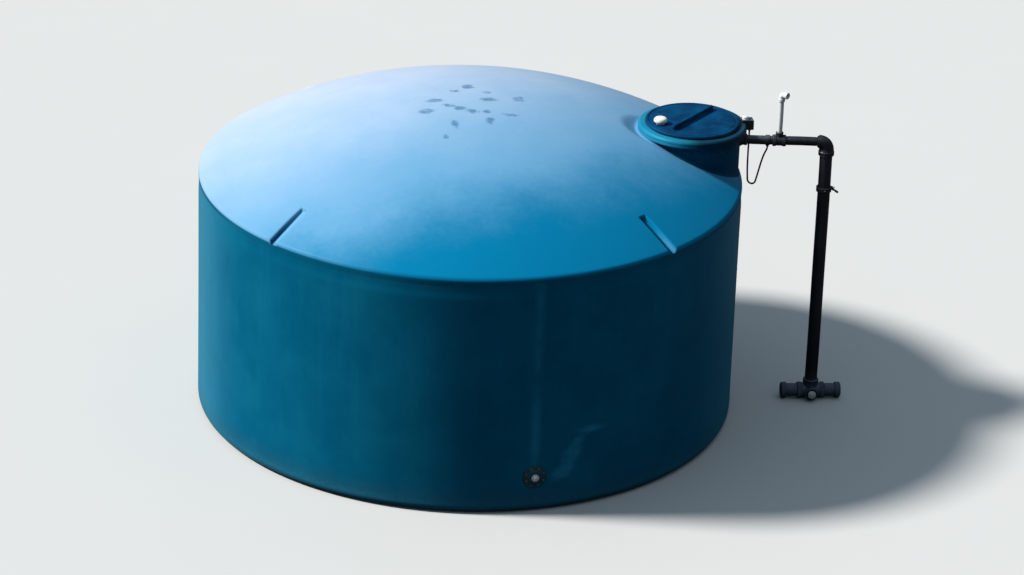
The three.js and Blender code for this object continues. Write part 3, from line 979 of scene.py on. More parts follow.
@dataclass(frozen=True)
class RingPlastic(Plastic):
    """The lip ring's lighter teal, with painted shade on the side where the lid's shadow falls."""

    # damp is the colour of the painted shade and the lid's painted shadow on the ring.
    lid_shade: Colour = (0.0006, 0.014, 0.034)
    reach: tuple[float, float] = (1.30, 1.56)

    def skin(self, s: Sketch, place: Socket) -> Socket:
        """Returns the teal with painted shade along reach, which is measured from the tank's axis.

        Args:
            s: The nodes.
            place: The point on the piece.

        Returns:
            The colour.
        """
        toned = super().skin(s, place)
        # Painted shade: darker towards +X, away from the key light, where the lid shades the ring.
        lee = s.scaled(s.noise(place, 9.0, 5.0, 0.65), 0.12, s.put("SeparateXYZ", place).outputs["X"])
        return s.tint(s.ramp(lee, *self.reach, 0.0, 0.9), toned, self.lid_shade)


@dataclass(frozen=True)
class RoofPlastic(Plastic):
    """The roof's moulding: teal on steep faces, blue on top, paler to one side and the crown by fading and
    painted sheen.

    sunny is the direction in which it fades and its painted sheen grows. stain names the attribute of the
    grime flecks, whose colour is grime. silt names the grooves' painted shade, coloured dark, and painted
    highlight, rinsed.
    """

    deep: Colour = (0.0003, 0.192, 0.38)
    mid_fade_and_sheen: Colour = (0.119, 0.349, 0.573)
    chalk_and_sheen: Colour = (0.68, 0.71, 0.83)
    grime: Colour = (0.035, 0.15, 0.29)
    groove_shade: Colour = (0.0005, 0.05, 0.12)
    groove_highlight: Colour = (0.24, 0.62, 0.80)
    fade_and_sheen_side: tuple[float, float, float] = (-0.50, 1.0, 1.32)
    stain: str = "crown_stain"
    groove_light: str = "groove_painted_light"

    def skin(self, s: Sketch, place: Socket) -> Socket:
        """Returns the teal, the fading blue with its painted sheen, the flecks and the grooves' painted
        light.

        Args:
            s: The nodes.
            place: The point on the piece.

        Returns:
            The colour.
        """
        up = s.times(s.ramp(s.height(place), 1.598, 1.618), s.ramp(s.height(), 0.02, 0.3))
        # Partly real fading and chalking, partly painted sky sheen and highlight: paler along sunny, most at
        # the crown.
        spread = s.put("VectorMath", place, self.fade_and_sheen_side, operation="DOT_PRODUCT").outputs["Value"]
        cloud = s.scaled(s.noise(place, 1.5, 5.0, 0.6), 1.0, -0.5)
        speckle = s.scaled(s.noise(place, 26.0, 5.0, 0.7), 0.28, -0.14)
        amount = s.math("ADD", s.math("ADD", spread, cloud), speckle)
        fade_and_sheen_tone = s.tint(s.ramp(amount, 0.70, 1.87), self.deep, self.mid_fade_and_sheen)
        roof_tone_and_sheen = s.tint(up, super().skin(s, place), s.tint(s.ramp(amount, 1.27, 5.25), fade_and_sheen_tone, self.chalk_and_sheen))
        fleck = s.math("SUBTRACT", s.attribute(self.stain), 2.1)
        ragged = s.scaled(s.noise(place, 21.0, 8.0, 0.8), 2.9, fleck)
        flecked = s.tint(s.times(s.ramp(ragged, -0.15, 0.5), 0.72), roof_tone_and_sheen, self.grime)
        # Painted light in the grooves: silt above 0 gives painted shade on the side away from the key light,
        # below 0 a painted highlight.
        groove_light = s.attribute(self.groove_light)
        thick = s.times(groove_light, s.ramp(s.noise(place, 40.0, 5.0), 0.1, 0.5, 0.7, 0.95))
        return s.tint(s.times(groove_light, -0.4), s.tint(thick, flecked, self.groove_shade), self.groove_highlight)


@dataclass(frozen=True)
class ZincSteel(Finish):
    """Zinc-plated fasteners, dulled and rusty in spots."""

    bright: Colour = (0.42, 0.42, 0.40)
    dull: Colour = (0.2, 0.19, 0.17)
    rust: Colour = (0.16, 0.06, 0.02)

    def shading(self, s: Sketch, place: Socket) -> dict[str, object]:
        """Returns what goes into the shader's inputs, by name.

        Args:
            s: The nodes.
            place: The point on the piece.

        Returns:
            The inputs' values.
        """
        plated = s.tint(Mottle().use(s, place, Scale=140.0), self.bright, self.dull)
        rusty = Mottle().use(s, place, Scale=60.0, Contrast=0.08)
        spots = s.times(rusty, s.ramp(s.noise(place, 220.0, 4.0), 0.5, 0.6))
        grain = MouldGrain().use(s, place, Scale=1200.0)
        return {"Base Color": s.tint(spots, plated, self.rust), "Metallic": s.scaled(spots, -0.9, 0.95),
                "Roughness": s.scaled(spots, 0.4, 0.38), "Normal": s.bump(grain, 0.0001, 0.5)}


TEAL, TEAL_GLEAM = (0.0002, 0.122, 0.232), (0.2, 0.7, 1.0)
WALL_FINISH = WallPlastic(
    "weathered_wall_plastic_painted_sheen", Slot.SHELL, TEAL, (0.006, 0.205, 0.34), dust=(0.06, 0.12, 0.13),
    dusty=0.05, roughness=0.45, specular=0.14, specular_tint=TEAL_GLEAM, streaked=0.22, scuffed=0.3,
    splashed=0.35, sheen=0.07, sheen_tint=(0.3, 0.9, 1.0), sheen_roughness=0.3)
ROOF_FINISH = RoofPlastic(
    "weathered_roof_plastic_painted_light", Slot.SHELL, TEAL, (0.01, 0.20, 0.34), dust=(0.02, 0.22, 0.32),
    dusty=0.04, specular=0.10, specular_tint=TEAL_GLEAM, streaked=0.14, scuffed=0.3, splashed=0.0)
RING_FINISH = RingPlastic(
    "ring_plastic", Slot.RING, (0.004, 0.20, 0.33), (0.05, 0.34, 0.50), dust=(0.02, 0.18, 0.28), dusty=0.06,
    sheen=0.03, specular=0.18, specular_tint=TEAL_GLEAM, splashed=0.0)
# Painted shade: the neck's colours are darkened for the shade under the lip ring.
NECK_FINISH = Plastic(
    "shaded_neck_plastic", Slot.SHELL, (0.0001, 0.040, 0.085), (0.003, 0.12, 0.23), dust=(0.02, 0.16, 0.25),
    dusty=0.04, roughness=0.45, specular=0.10, specular_tint=TEAL_GLEAM, streaked=0.2, splashed=0.0)
LID_FINISH = Plastic(
    "lid_plastic", Slot.LID, (0.0002, 0.018, 0.060), (0.0004, 0.072, 0.185), dust=(0.002, 0.085, 0.19),
    dusty=0.15, roughness=0.5, specular=0.12, specular_tint=(0.15, 0.6, 1.0), streaked=0.1, splashed=0.0,
    clouds=(5.0, 0.8))
# The black finish's dust is blued: partly real dust, partly painted sky reflection on the pipes' tops.
BLACK_FINISH = Plastic(
    "black_pipe_plastic", Slot.BLACK, (0.008, 0.009, 0.010), (0.05, 0.052, 0.055), dust=(0.16, 0.23, 0.33),
    dusty=0.35, roughness=0.38, grain=0.0002, grain_scale=600.0, streaked=0.35, scuffed=0.45)
FLANGE_FINISH = Plastic(
    "flange_plastic", Slot.BLACK, (0.003, 0.050, 0.075), (0.02, 0.12, 0.16), dust=(0.06, 0.12, 0.13),
    dusty=0.4, roughness=0.5, grain=0.0002, grain_scale=600.0, streaked=0.35, scuffed=0.45)
WHITE_FINISH = Plastic(
    "white_pipe_plastic", Slot.WHITE, (0.84, 0.85, 0.82), (0.72, 0.71, 0.66), dust=(0.50, 0.47, 0.40),
    dusty=0.16, roughness=0.36, grain=0.0002, grain_scale=600.0, streaked=0.45, scuffed=0.2)
SEAL_FINISH = Plastic(
    "seal_rubber", Slot.SEAL, (0.010, 0.010, 0.011), (0.04, 0.04, 0.042), dusty=0.3, roughness=0.75,
    grain=0.0003, grain_scale=500.0, streaked=0.1, splashed=0.0)
LEAD_FINISH = Plastic(
    "lead_jacket", Slot.LEAD, (0.011, 0.011, 0.012), (0.05, 0.05, 0.052), dusty=0.35, roughness=0.55,
    grain=0.0002, grain_scale=900.0, streaked=0.1, splashed=0.0)
STEEL_FINISH = ZincSteel("zinc_steel", Slot.BLACK)


def dress(thing: bpy.types.Object, finish: Finish, *stands_for: str,
          body: Body = Body.TANK) -> bpy.types.Object:
    """Gives a made piece its finish, the body it rides on and the nodes it stands for.

    Args:
        thing: The piece, in place.
        finish: Its finish.
        *stands_for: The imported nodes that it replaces.
        body: The body that it moves with.

    Returns:
        The same piece.
    """
    thing.data.materials.clear()
    thing.data.materials.append(finish.material())
    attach(thing, body.value)
    if stands_for:
        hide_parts(*stands_for)
    LOG.info("%s rides on %s", thing.name, body.value)
    return thing


def publish(draft: Draft, place: Matrix, name: str, finish: Finish, *stands_for: str, body: Body = Body.TANK,
            crease: float = CREASE) -> bpy.types.Object:
    """Makes and dresses a piece from its draft.

    Args:
        draft: The points and faces.
        place: Where the draft goes.
        name: The piece's name.
        finish: Its finish.
        *stands_for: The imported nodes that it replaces.
        body: The body that it moves with.
        crease: Edges that turn more than this many degrees stay crisp.

    Returns:
        The piece.
    """
    return dress(mesh_object(draft.placed(place), name, crease), finish, *stands_for, body=body)


# The studio


@dataclass(frozen=True)
class Studio:
    """A pale floor, soft light from the left and a camera where the photographer stood."""

    eye: tuple[float, float, float] = (-1.943, -25.06, 11.97)
    pitch: float = 23.5  # degrees below the horizon
    photo_focal: float = 1250 / 1024  # of the frame's width
    closer: float = 3.3  # how much of a crop of the photograph's frame the view is
    aim: tuple[float, float, float] = (0.30, 0.0, 0.78)
    key_from: tuple[float, float, float] = (-0.740, 0.062, 0.669)
    key_power: float = 5.0
    key_softness: float = 9.0  # degrees across
    key_colour: Colour = (1.0, 0.985, 0.96)
    sky_low: Colour = (0.70, 0.78, 0.86)
    sky_high: Colour = (0.62, 0.80, 1.0)
    sky_power: tuple[float, float] = (0.07, 0.50)
    floor_radii: tuple[float, ...] = (0.0, 3.0, 12.0, 60.0, 260.0)
    floor_seen: Colour = (0.60, 0.60, 0.58)
    floor_felt: Colour = (0.05, 0.055, 0.06)

    def camera(self) -> None:
        """Makes the camera, turned from the photograph's axis to the tank with no new roll."""
        data = bpy.data.cameras.new("camera")
        data.sensor_width = 36.0
        data.lens = data.sensor_width * self.photo_focal * self.closer
        data.clip_end = 600.0
        camera = linked("camera", data)
        level = Matrix.Rotation(math.radians(90 - self.pitch), 3, "X")
        axis = level @ Vector((0, 0, -1))
        towards = (Vector(self.aim) - Vector(self.eye)).normalized()
        camera.rotation_mode = "QUATERNION"
        camera.rotation_quaternion = axis.rotation_difference(towards) @ level.to_quaternion()
        camera.location = self.eye
        bpy.context.scene.camera = camera

    def floor(self) -> None:
        """Makes the floor, pale to the eye and dim to the light that it throws back."""
        sheet = turned(np.array([(radius, 0.0) for radius in self.floor_radii]), 96)
        thing = mesh_object(sheet.flipped(), "studio_floor", 30.0)
        material = bpy.data.materials.new("studio_floor")
        s = Sketch.blank(material)
        cloud = s.noise(s.put("TexCoord").outputs["Object"], 0.9, 6.0, 0.6)
        lighter = tuple(1.04 * c for c in self.floor_seen)
        seen = s.put("BsdfDiffuse", s.tint(cloud, self.floor_seen, lighter)).outputs[0]
        felt = s.put("BsdfDiffuse", self.floor_felt).outputs[0]
        direct = s.put("LightPath").outputs["Is Camera Ray"]
        s.put("OutputMaterial", s.put("MixShader", direct, felt, seen).outputs[0])
        thing.data.materials.append(material)

    def lights(self) -> None:
        """Makes the soft key light from the left and a dim sky that is brighter overhead."""
        key = bpy.data.lights.new("key", "SUN")
        key.energy = self.key_power
        key.angle = math.radians(self.key_softness)
        key.color = self.key_colour
        lamp = linked("key", key)
        lamp.rotation_mode = "QUATERNION"
        lamp.rotation_quaternion = Vector(self.key_from).to_track_quat("Z", "Y")
        world = bpy.data.worlds.new("studio")
        bpy.context.scene.world = world
        s = Sketch.blank(world)
        up = s.height(s.put("TexCoord").outputs["Generated"])
        sky = s.tint(s.ramp(up, -0.1, 0.9), self.sky_low, self.sky_high)
        s.put("OutputWorld", s.put("Background", sky, s.ramp(up, 0.15, 0.95, *self.sky_power)).outputs[0])
        view = bpy.context.scene.view_settings
        view.view_transform = "Standard"
        view.look = "None"

    def build(self) -> None:
        """Makes the camera, the floor and the lights."""
        self.camera()
        self.floor()
        self.lights()


# The tank


@dataclass(frozen=True)
class Dome:
    """The roof's form: a sphere's cap that ends in a rounded shoulder."""

    radius: float
    apex: float = 2.120
    rim: float = 1.630
    shoulder: float = 0.035

    @property
    def ball(self) -> tuple[float, float]:
        """Returns the sphere's radius and the height of its centre.

        Returns:
            The radius and the height.
        """
        rim_rise = self.apex - self.rim
        radius = (self.radius ** 2 + rim_rise ** 2) / (2 * rim_rise)
        return radius, self.apex - radius

    @property
    def shoulder_centre(self) -> tuple[float, float]:
        """Returns the radius and height that the shoulder's rounding turns about.

        Returns:
            The radius and the height.
        """
        radius, base = self.ball
        place = self.radius - self.shoulder
        return place, base + math.sqrt((radius - self.shoulder) ** 2 - place ** 2)

    @property
    def cap_edge(self) -> float:
        """Returns the radius where the cap passes into the shoulder."""
        radius, _ = self.ball
        return self.shoulder_centre[0] * radius / (radius - self.shoulder)

    def height(self, radius: np.ndarray) -> np.ndarray:
        """Returns the height of the surface at a radius.

        Args:
            radius: Each place's distance from the tank's axis.

        Returns:
            The heights.
        """
        ball, base = self.ball
        place, level = self.shoulder_centre
        cap = base + np.sqrt(np.maximum(ball ** 2 - radius ** 2, 0))
        rounding = level + np.sqrt(np.maximum(self.shoulder ** 2 - (radius - place) ** 2, 0))
        return np.where(radius < self.cap_edge, cap, rounding)

    def outline(self, radii: np.ndarray, bend_steps: int, inset: float) -> np.ndarray:
        """Returns the surface's outline from the crown out and down to the shoulder's foot.

        Args:
            radii: Radii on the cap, from 0 to 1 of the cap's edge.
            bend_steps: Stretches in the shoulder.
            inset: How far inside the outer surface.

        Returns:
            Radius and height of each point.
        """
        ball, base = self.ball
        centre = np.array(self.shoulder_centre)
        reach = radii * self.cap_edge * (ball - inset) / ball
        cap = np.column_stack([reach, base + np.sqrt((ball - inset) ** 2 - reach ** 2)])
        turns = np.linspace(math.asin(self.cap_edge / ball), math.pi / 2, bend_steps + 1)[1:]
        rounding = np.column_stack([np.sin(turns), np.cos(turns)])
        return np.vstack([cap, centre + (self.shoulder - inset) * rounding])


@dataclass(frozen=True)
class TieGroove:
    """One tie-down groove, cut from the dome down through the shoulder, with sloping sides."""

    turn: float  # degrees
    start: float = 1.515
    start_depth: float = 0.024
    end: float = 1.790
    end_height: float = 1.594
    floor_half: float = 0.019
    spread: float = 0.5
    lean: float = 0.8  # of the end wall, for each metre of depth
    softness: float = 0.003

    def reach(self, dome: Dome, origin: np.ndarray, ahead: np.ndarray, inset: float) -> np.ndarray:
        """Measures how far rays travel before they enter the groove.

        Args:
            dome: The roof's form.
            origin: Where each ray starts.
            ahead: Each ray's direction.
            inset: How far inside the outer surface this skin lies.

        Returns:
            The distance along each ray.
        """
        turn = math.radians(self.turn)
        out = np.array([math.cos(turn), math.sin(turn), 0.0])
        across = np.array([-math.sin(turn), math.cos(turn), 0.0])
        top = float(dome.height(np.array(self.start))) - self.start_depth
        down = out * (self.end - self.start) - np.array([0, 0, top - self.end_height])
        down /= np.linalg.norm(down)
        up = np.cross(down, across)
        foot = out * self.start + np.array([0, 0, top]) - up * inset
        half = self.floor_half + inset
        planes = ((up, 0.0), (up - across / self.spread, half), (up + across / self.spread, half),
                  (down + up * self.lean, 0.3 * inset))
        far = None
        for normal, room in planes:
            gain = ahead @ normal
            level = (foot - origin) @ normal - room / self.spread
            gone = np.where(gain > 0.02, level / np.maximum(gain, 0.02), 1e3)
            far = gone if far is None else soft_max(far, gone, self.softness)
        return far


@dataclass(frozen=True)
class TankShell:
    """The tank's moulding: floor, wall and roof, with the recess and hole for the manway.

    band holds the heights at which the shallow band starts, is full, still is and ends. Each rub mark has
    its turn and height, and each fleck its X and Y, then half a length, half a width and a lean.
    """

    radius: float = -CAD_BOX[0].x
    skin: float = 0.010
    foot: float = 0.055
    wall_foot: float = 0.060
    floor_step: float = 0.9
    band: tuple[float, float, float, float] = (1.480, 1.545, 1.570, 1.6085)
    band_depth: float = 0.003
    seat: float = 1.590
    sides: int = 240
    waviness: float = 0.0016
    recess_radius: float = 0.378
    recess_bank: float = 35.0
    hole_radius: float = 0.314
    roof_crease: float = 60.0
    groove_core: tuple[float, float] = (1.40, 1.30)  # the circle that the grooves are cut out from
    grooves: tuple[float, ...] = (42.0, 132.0, 222.0, 312.0)
    stripe_turn: float = -79.4
    stripe_half: float = 0.026
    rubs: tuple[tuple[float, float, float, float, float], ...] = (
        (-71.5, 0.375, 0.11, 0.060, 62.0), (-73.3, 0.265, 0.09, 0.050, 25.0),
        (-67.2, 0.54, 0.095, 0.026, 0.0), (-70.2, 0.46, 0.06, 0.035, 50.0))
    flecks: tuple[tuple[float, float, float, float, float], ...] = (
        (-0.02, 0.27, 0.055, 0.050, 8.0), (-0.11, 0.18, 0.035, 0.030, -10.0),
        (0.10, 0.16, 0.036, 0.028, 0.0), (0.10, 0.02, 0.062, 0.034, 12.0),
        (0.31, 0.06, 0.045, 0.052, 0.0), (-0.25, 0.02, 0.062, 0.034, 15.0),
        (-0.31, -0.15, 0.058, 0.042, 5.0), (-0.16, -0.08, 0.052, 0.030, -25.0),
        (-0.09, -0.13, 0.045, 0.036, -38.0), (-0.02, -0.18, 0.062, 0.036, -30.0),
        (0.08, -0.18, 0.032, 0.030, 0.0), (0.23, -0.22, 0.058, 0.026, -4.0),
        (-0.14, -0.36, 0.026, 0.066, 10.0), (0.09, -0.31, 0.030, 0.055, -12.0),
        (-0.21, -0.52, 0.022, 0.034, 0.0))

    @property
    def dome(self) -> Dome:
        """Returns the roof's form."""
        return Dome(self.radius)

    def dip(self, heights: np.ndarray) -> np.ndarray:
        """Returns how deep the shallow band under the roof lies at each height.

        Args:
            heights: The height of each point.

        Returns:
            The depths.
        """
        start, full, still, end = self.band
        down, up = ramp_up(heights, start, full - start), ramp_up(heights, end, still - end)
        return self.band_depth * down ** 2 * (3 - 2 * down) * up ** 2 * (3 - 2 * up)

    def wavy(self, radii: np.ndarray, angles: np.ndarray, heights: np.ndarray) -> np.ndarray:
        """Draws the wall in by the slow waves that moulded plastic cools into.

        Args:
            radii: The radius of each point.
            angles: The angle of each point about the axis.
            heights: The height of each point.

        Returns:
            The radii with the waves.
        """
        wave = np.sin(7 * angles + 1.3) * np.sin(5.1 * heights + 0.4) + np.sin(11 * angles + 2 * heights)
        fade = ramp_up(heights, self.wall_foot, 0.2) * ramp_up(heights, self.band[0], -0.2)
        return radii - self.waviness * fade * (0.5 + 0.25 * wave)

    def floor_pan(self) -> None:
        """Makes the floor with its rounded foot."""
        r, skin, step = self.radius, self.skin, self.floor_step
        corner = np.array([r - self.foot, self.foot])
        arcs = ((self.foot, np.linspace(0, math.pi / 2, 9)),
                (self.foot - skin, np.linspace(math.pi / 2, 0, 7)))
        outer, inner = (corner + reach * np.column_stack([np.sin(turns), -np.cos(turns)])
                        for reach, turns in arcs)
        rim = [(r, self.wall_foot), (r - skin, self.wall_foot)]
        outline = np.vstack([[(0, 0), (step, 0)], outer, rim, inner, [(step, skin), (0, skin)]])
        publish(turned(outline, self.sides), shift(), "tank_floor_pan", WALL_FINISH, "tank_floor")

    def wall(self) -> None:
        """Makes the wall, one moulding with the shallow band under the roof."""
        r, skin = self.radius, self.skin
        band = self.band[0]
        spans = (self.wall_foot, 0.20, 4), (0.20, 0.62, 28), (0.62, band, 15), (band, self.seat, 23)
        heights = np.concatenate([np.linspace(*span)[:-1] for span in spans] + [[self.seat]])
        outside = np.column_stack([r - self.dip(heights), heights])
        outline = np.vstack([outside, outside[::-3] - np.array([skin, 0]), [(r - skin, self.wall_foot)]])
        drain = DrainFitting()
        thing = mesh_object(turned(outline, self.sides, self.wavy), "tank_wall", CREASE)
        cut(thing, bar(drain.barrel, r - 0.08, r + 0.08).placed(drain.seat @ ALONG_X), CREASE)
        mark(thing, WALL_FINISH.stripe, self.stripe_share)
        mark(thing, WALL_FINISH.rubbed, self.rub_share)
        dress(thing, WALL_FINISH, *(f"wall_segment_{i}" for i in range(1, 9)))

    def beside(self, turns: np.ndarray, groove: float) -> np.ndarray:
        """Returns how many degrees lie between each turn and a groove."""
        return np.abs((turns - groove + 180) % 360 - 180)

    def columns(self) -> np.ndarray:
        """Returns the angles of the roof's grid, close together at the grooves and the manway.

        Returns:
            The angles, in radians and in order.
        """
        near = np.concatenate([np.arange(-12, 13) * 0.14, [2.05, 2.6, 3.4, 4.4], [-2.05, -2.6, -3.4, -4.4]])
        close = np.concatenate([near + groove for groove in self.grooves])
        wide = np.arange(-45, 315, 1.5)
        clear = [self.beside(wide, groove) > 5.1 for groove in self.grooves]
        wide = wide[np.all([*clear, np.abs(wide) > 20.4], axis=0)]
        turns = np.concatenate([close, np.arange(-20, 20.1, 0.5), wide]) % 360
        return np.radians(np.unique(turns.round(4)))

    def roof_skin(self, inset: float, crown_rows: int) -> np.ndarray:
        """Returns one skin of the roof, from the crown out to the seat, as rows of points.

        Args:
            inset: How far inside the outer surface.
            crown_rows: Rows in the crown, which are close together where stains lie on it.

        Returns:
            Rows by columns by 3.
        """
        edge = self.dome.cap_edge
        spans = ((0, 0.70, crown_rows), (0.76, 0.96, 5), (0.98, 1.20, 24), (1.24, 1.46, 6),
                 (1.475, 1.555, 17), (1.57, edge, 16))
        rows = np.concatenate([np.linspace(*span) for span in spans])
        outline = self.dome.outline(rows / edge, 12, inset)
        turns = self.columns()[None, :]
        points = around(outline[:, :1], turns, outline[:, 1:])
        x, y, z = np.moveaxis(points, -1, 0)
        floor = Manway.ring_foot() - 0.0003 - inset
        slope = math.radians(self.recess_bank)
        out = np.hypot(x - Manway.axis_x(), y) - self.recess_radius - inset * math.tan(slope / 2)
        bank = floor + math.tan(slope) * out
        points[..., 2] = soft_min(z, soft_max(bank, np.full_like(bank, floor), 0.006), 0.010)
        core_radius, core_height = self.groove_core
        origin = np.broadcast_to(around(core_radius, turns, core_height), points.shape)
        ray = points - origin
        length = np.linalg.norm(ray, axis=-1)
        ahead = ray / length[..., None]
        for groove in self.grooves:
            near = (self.beside(np.degrees(turns), groove) < 4.6) & (outline[:, :1] > 1.42)
            gone = TieGroove(groove).reach(self.dome, origin[near], ahead[near], inset)
            length[near] = soft_min(length[near], gone, 0.012)
        return origin + ahead * length[..., None]

    def roof(self) -> None:
        """Makes the domed roof as a closed skin, and opens it for the manway."""
        under, over = self.seat - 0.0004, 0.0003
        heights = np.linspace(under, self.dome.shoulder_centre[1] - 0.001, 9)
        radii = self.radius - self.dip(heights) + over * (heights < self.seat + 0.001)
        edge = np.vstack([[(self.radius - 2 * self.skin, under)], np.column_stack([radii, heights])])
        foot = around(edge[:, :1], self.columns()[None, :], edge[:, 1:])
        rows = np.concatenate([self.roof_skin(self.skin, 5), foot, self.roof_skin(0.0, 27)[::-1]])
        thing = mesh_object(grid(rows, False), "tank_roof", self.roof_crease)
        cut(thing, bar(self.hole_radius, 1.4, 2.3, 0, 128).placed(Manway().place), self.roof_crease)
        mark(thing, ROOF_FINISH.stain, self.fleck_share)
        mark(thing, ROOF_FINISH.groove_light, self.groove_light_share)
        dress(thing, ROOF_FINISH, "roof_dome")

    def stripe_share(self, points: np.ndarray) -> np.ndarray:
        """Returns how much each point of the wall lies in the pale stripe above the drain.

        Args:
            points: The piece's points, one row each.

        Returns:
            A share for each point.
        """
        out, side = (points @ spin(-self.stripe_turn).to_3x3().row[i] for i in (0, 1))
        across = np.clip(1.4 - np.abs(side) / self.stripe_half, 0, 1)
        return across * (out > 0) * ramp_up(points[:, 2], 0.28, 0.1)

    def rub_share(self, points: np.ndarray) -> np.ndarray:
        """Returns how much each point of the wall lies in a patch of rub marks.

        Args:
            points: The piece's points, one row each.

        Returns:
            A share for each point.
        """
        x, y, z = points.T
        turns = np.degrees(np.arctan2(y, x))
        shares = [oval(np.radians(turns - turn) * self.radius, z - level, *sizes, 0.95)
                  for turn, level, *sizes in self.rubs]
        return np.max(shares, axis=0) * (np.hypot(x, y) > self.radius - 0.5 * self.skin)

    def fleck_share(self, points: np.ndarray) -> np.ndarray:
        """Returns how much each point of the roof lies in a grime fleck."""
        shares = [oval(points[:, 0] - x, points[:, 1] - y, *sizes, 0.9) for x, y, *sizes in self.flecks]
        return np.max(shares, axis=0) * (points[:, 2] > 1.9)

    def groove_light_share(self, points: np.ndarray) -> np.ndarray:
        """Returns painted shade for each point in a groove, and below 0 a painted highlight on the side
        facing the light.

        Args:
            points: The piece's points, one row each.

        Returns:
            A share for each point, from -0.5 to 1.
        """
        radii = np.hypot(points[:, 0], points[:, 1])
        depth = self.dome.height(np.minimum(radii, self.dome.cap_edge)) - points[:, 2]
        along = ramp_up(radii, 1.50, 0.22)
        share = np.zeros_like(radii)
        for turn in np.radians(self.grooves):
            out = np.array([math.cos(turn), math.sin(turn)])
            across = np.array([-math.sin(turn), math.cos(turn)])
            side = points[:, :2] @ across * -np.sign(across[0])
            inside = (np.abs(side) < 0.06) & (points[:, :2] @ out > 1.5)
            # Painted shade spreads further in grooves that point away from the key light, most at their inner
            # end.
            lee = max(0.0, out[0])
            sides = 1.5 * ramp_up(side, 0.011 - 0.035 * lee, 0.008) - 0.5
            share[inside] = (sides * (0.35 + 0.65 * along) + lee * (1 - along))[inside]
        return share * ramp_up(depth, 0.004, 0.010) * ramp_up(radii, 1.784, -0.006)

    def build(self) -> None:
        """Makes the floor, the wall and the roof."""
        self.floor_pan()
        self.wall()
        self.roof()


# The manway


@dataclass(frozen=True)
class Thread:
    """A coarse moulded screw thread, as a ridge that winds round a turned face between two heights."""

    start: float
    end: float
    pitch: float = 0.012
    height: float = 0.0022

    def ridge(self, angles: np.ndarray, heights: np.ndarray) -> np.ndarray:
        """Returns how far the ridge stands out at each place.

        Args:
            angles: The angle of each point about the axis.
            heights: The height of each point.

        Returns:
            The distances.
        """
        phase = ((heights - self.start) / self.pitch - angles / (2 * math.pi)) % 1.0
        crest = np.clip(1.9 - 5.2 * np.abs(phase - 0.5), 0, 1)
        return self.height * crest * ramp_up(heights, self.start, 0.002) * ramp_up(heights, self.end, -0.002)


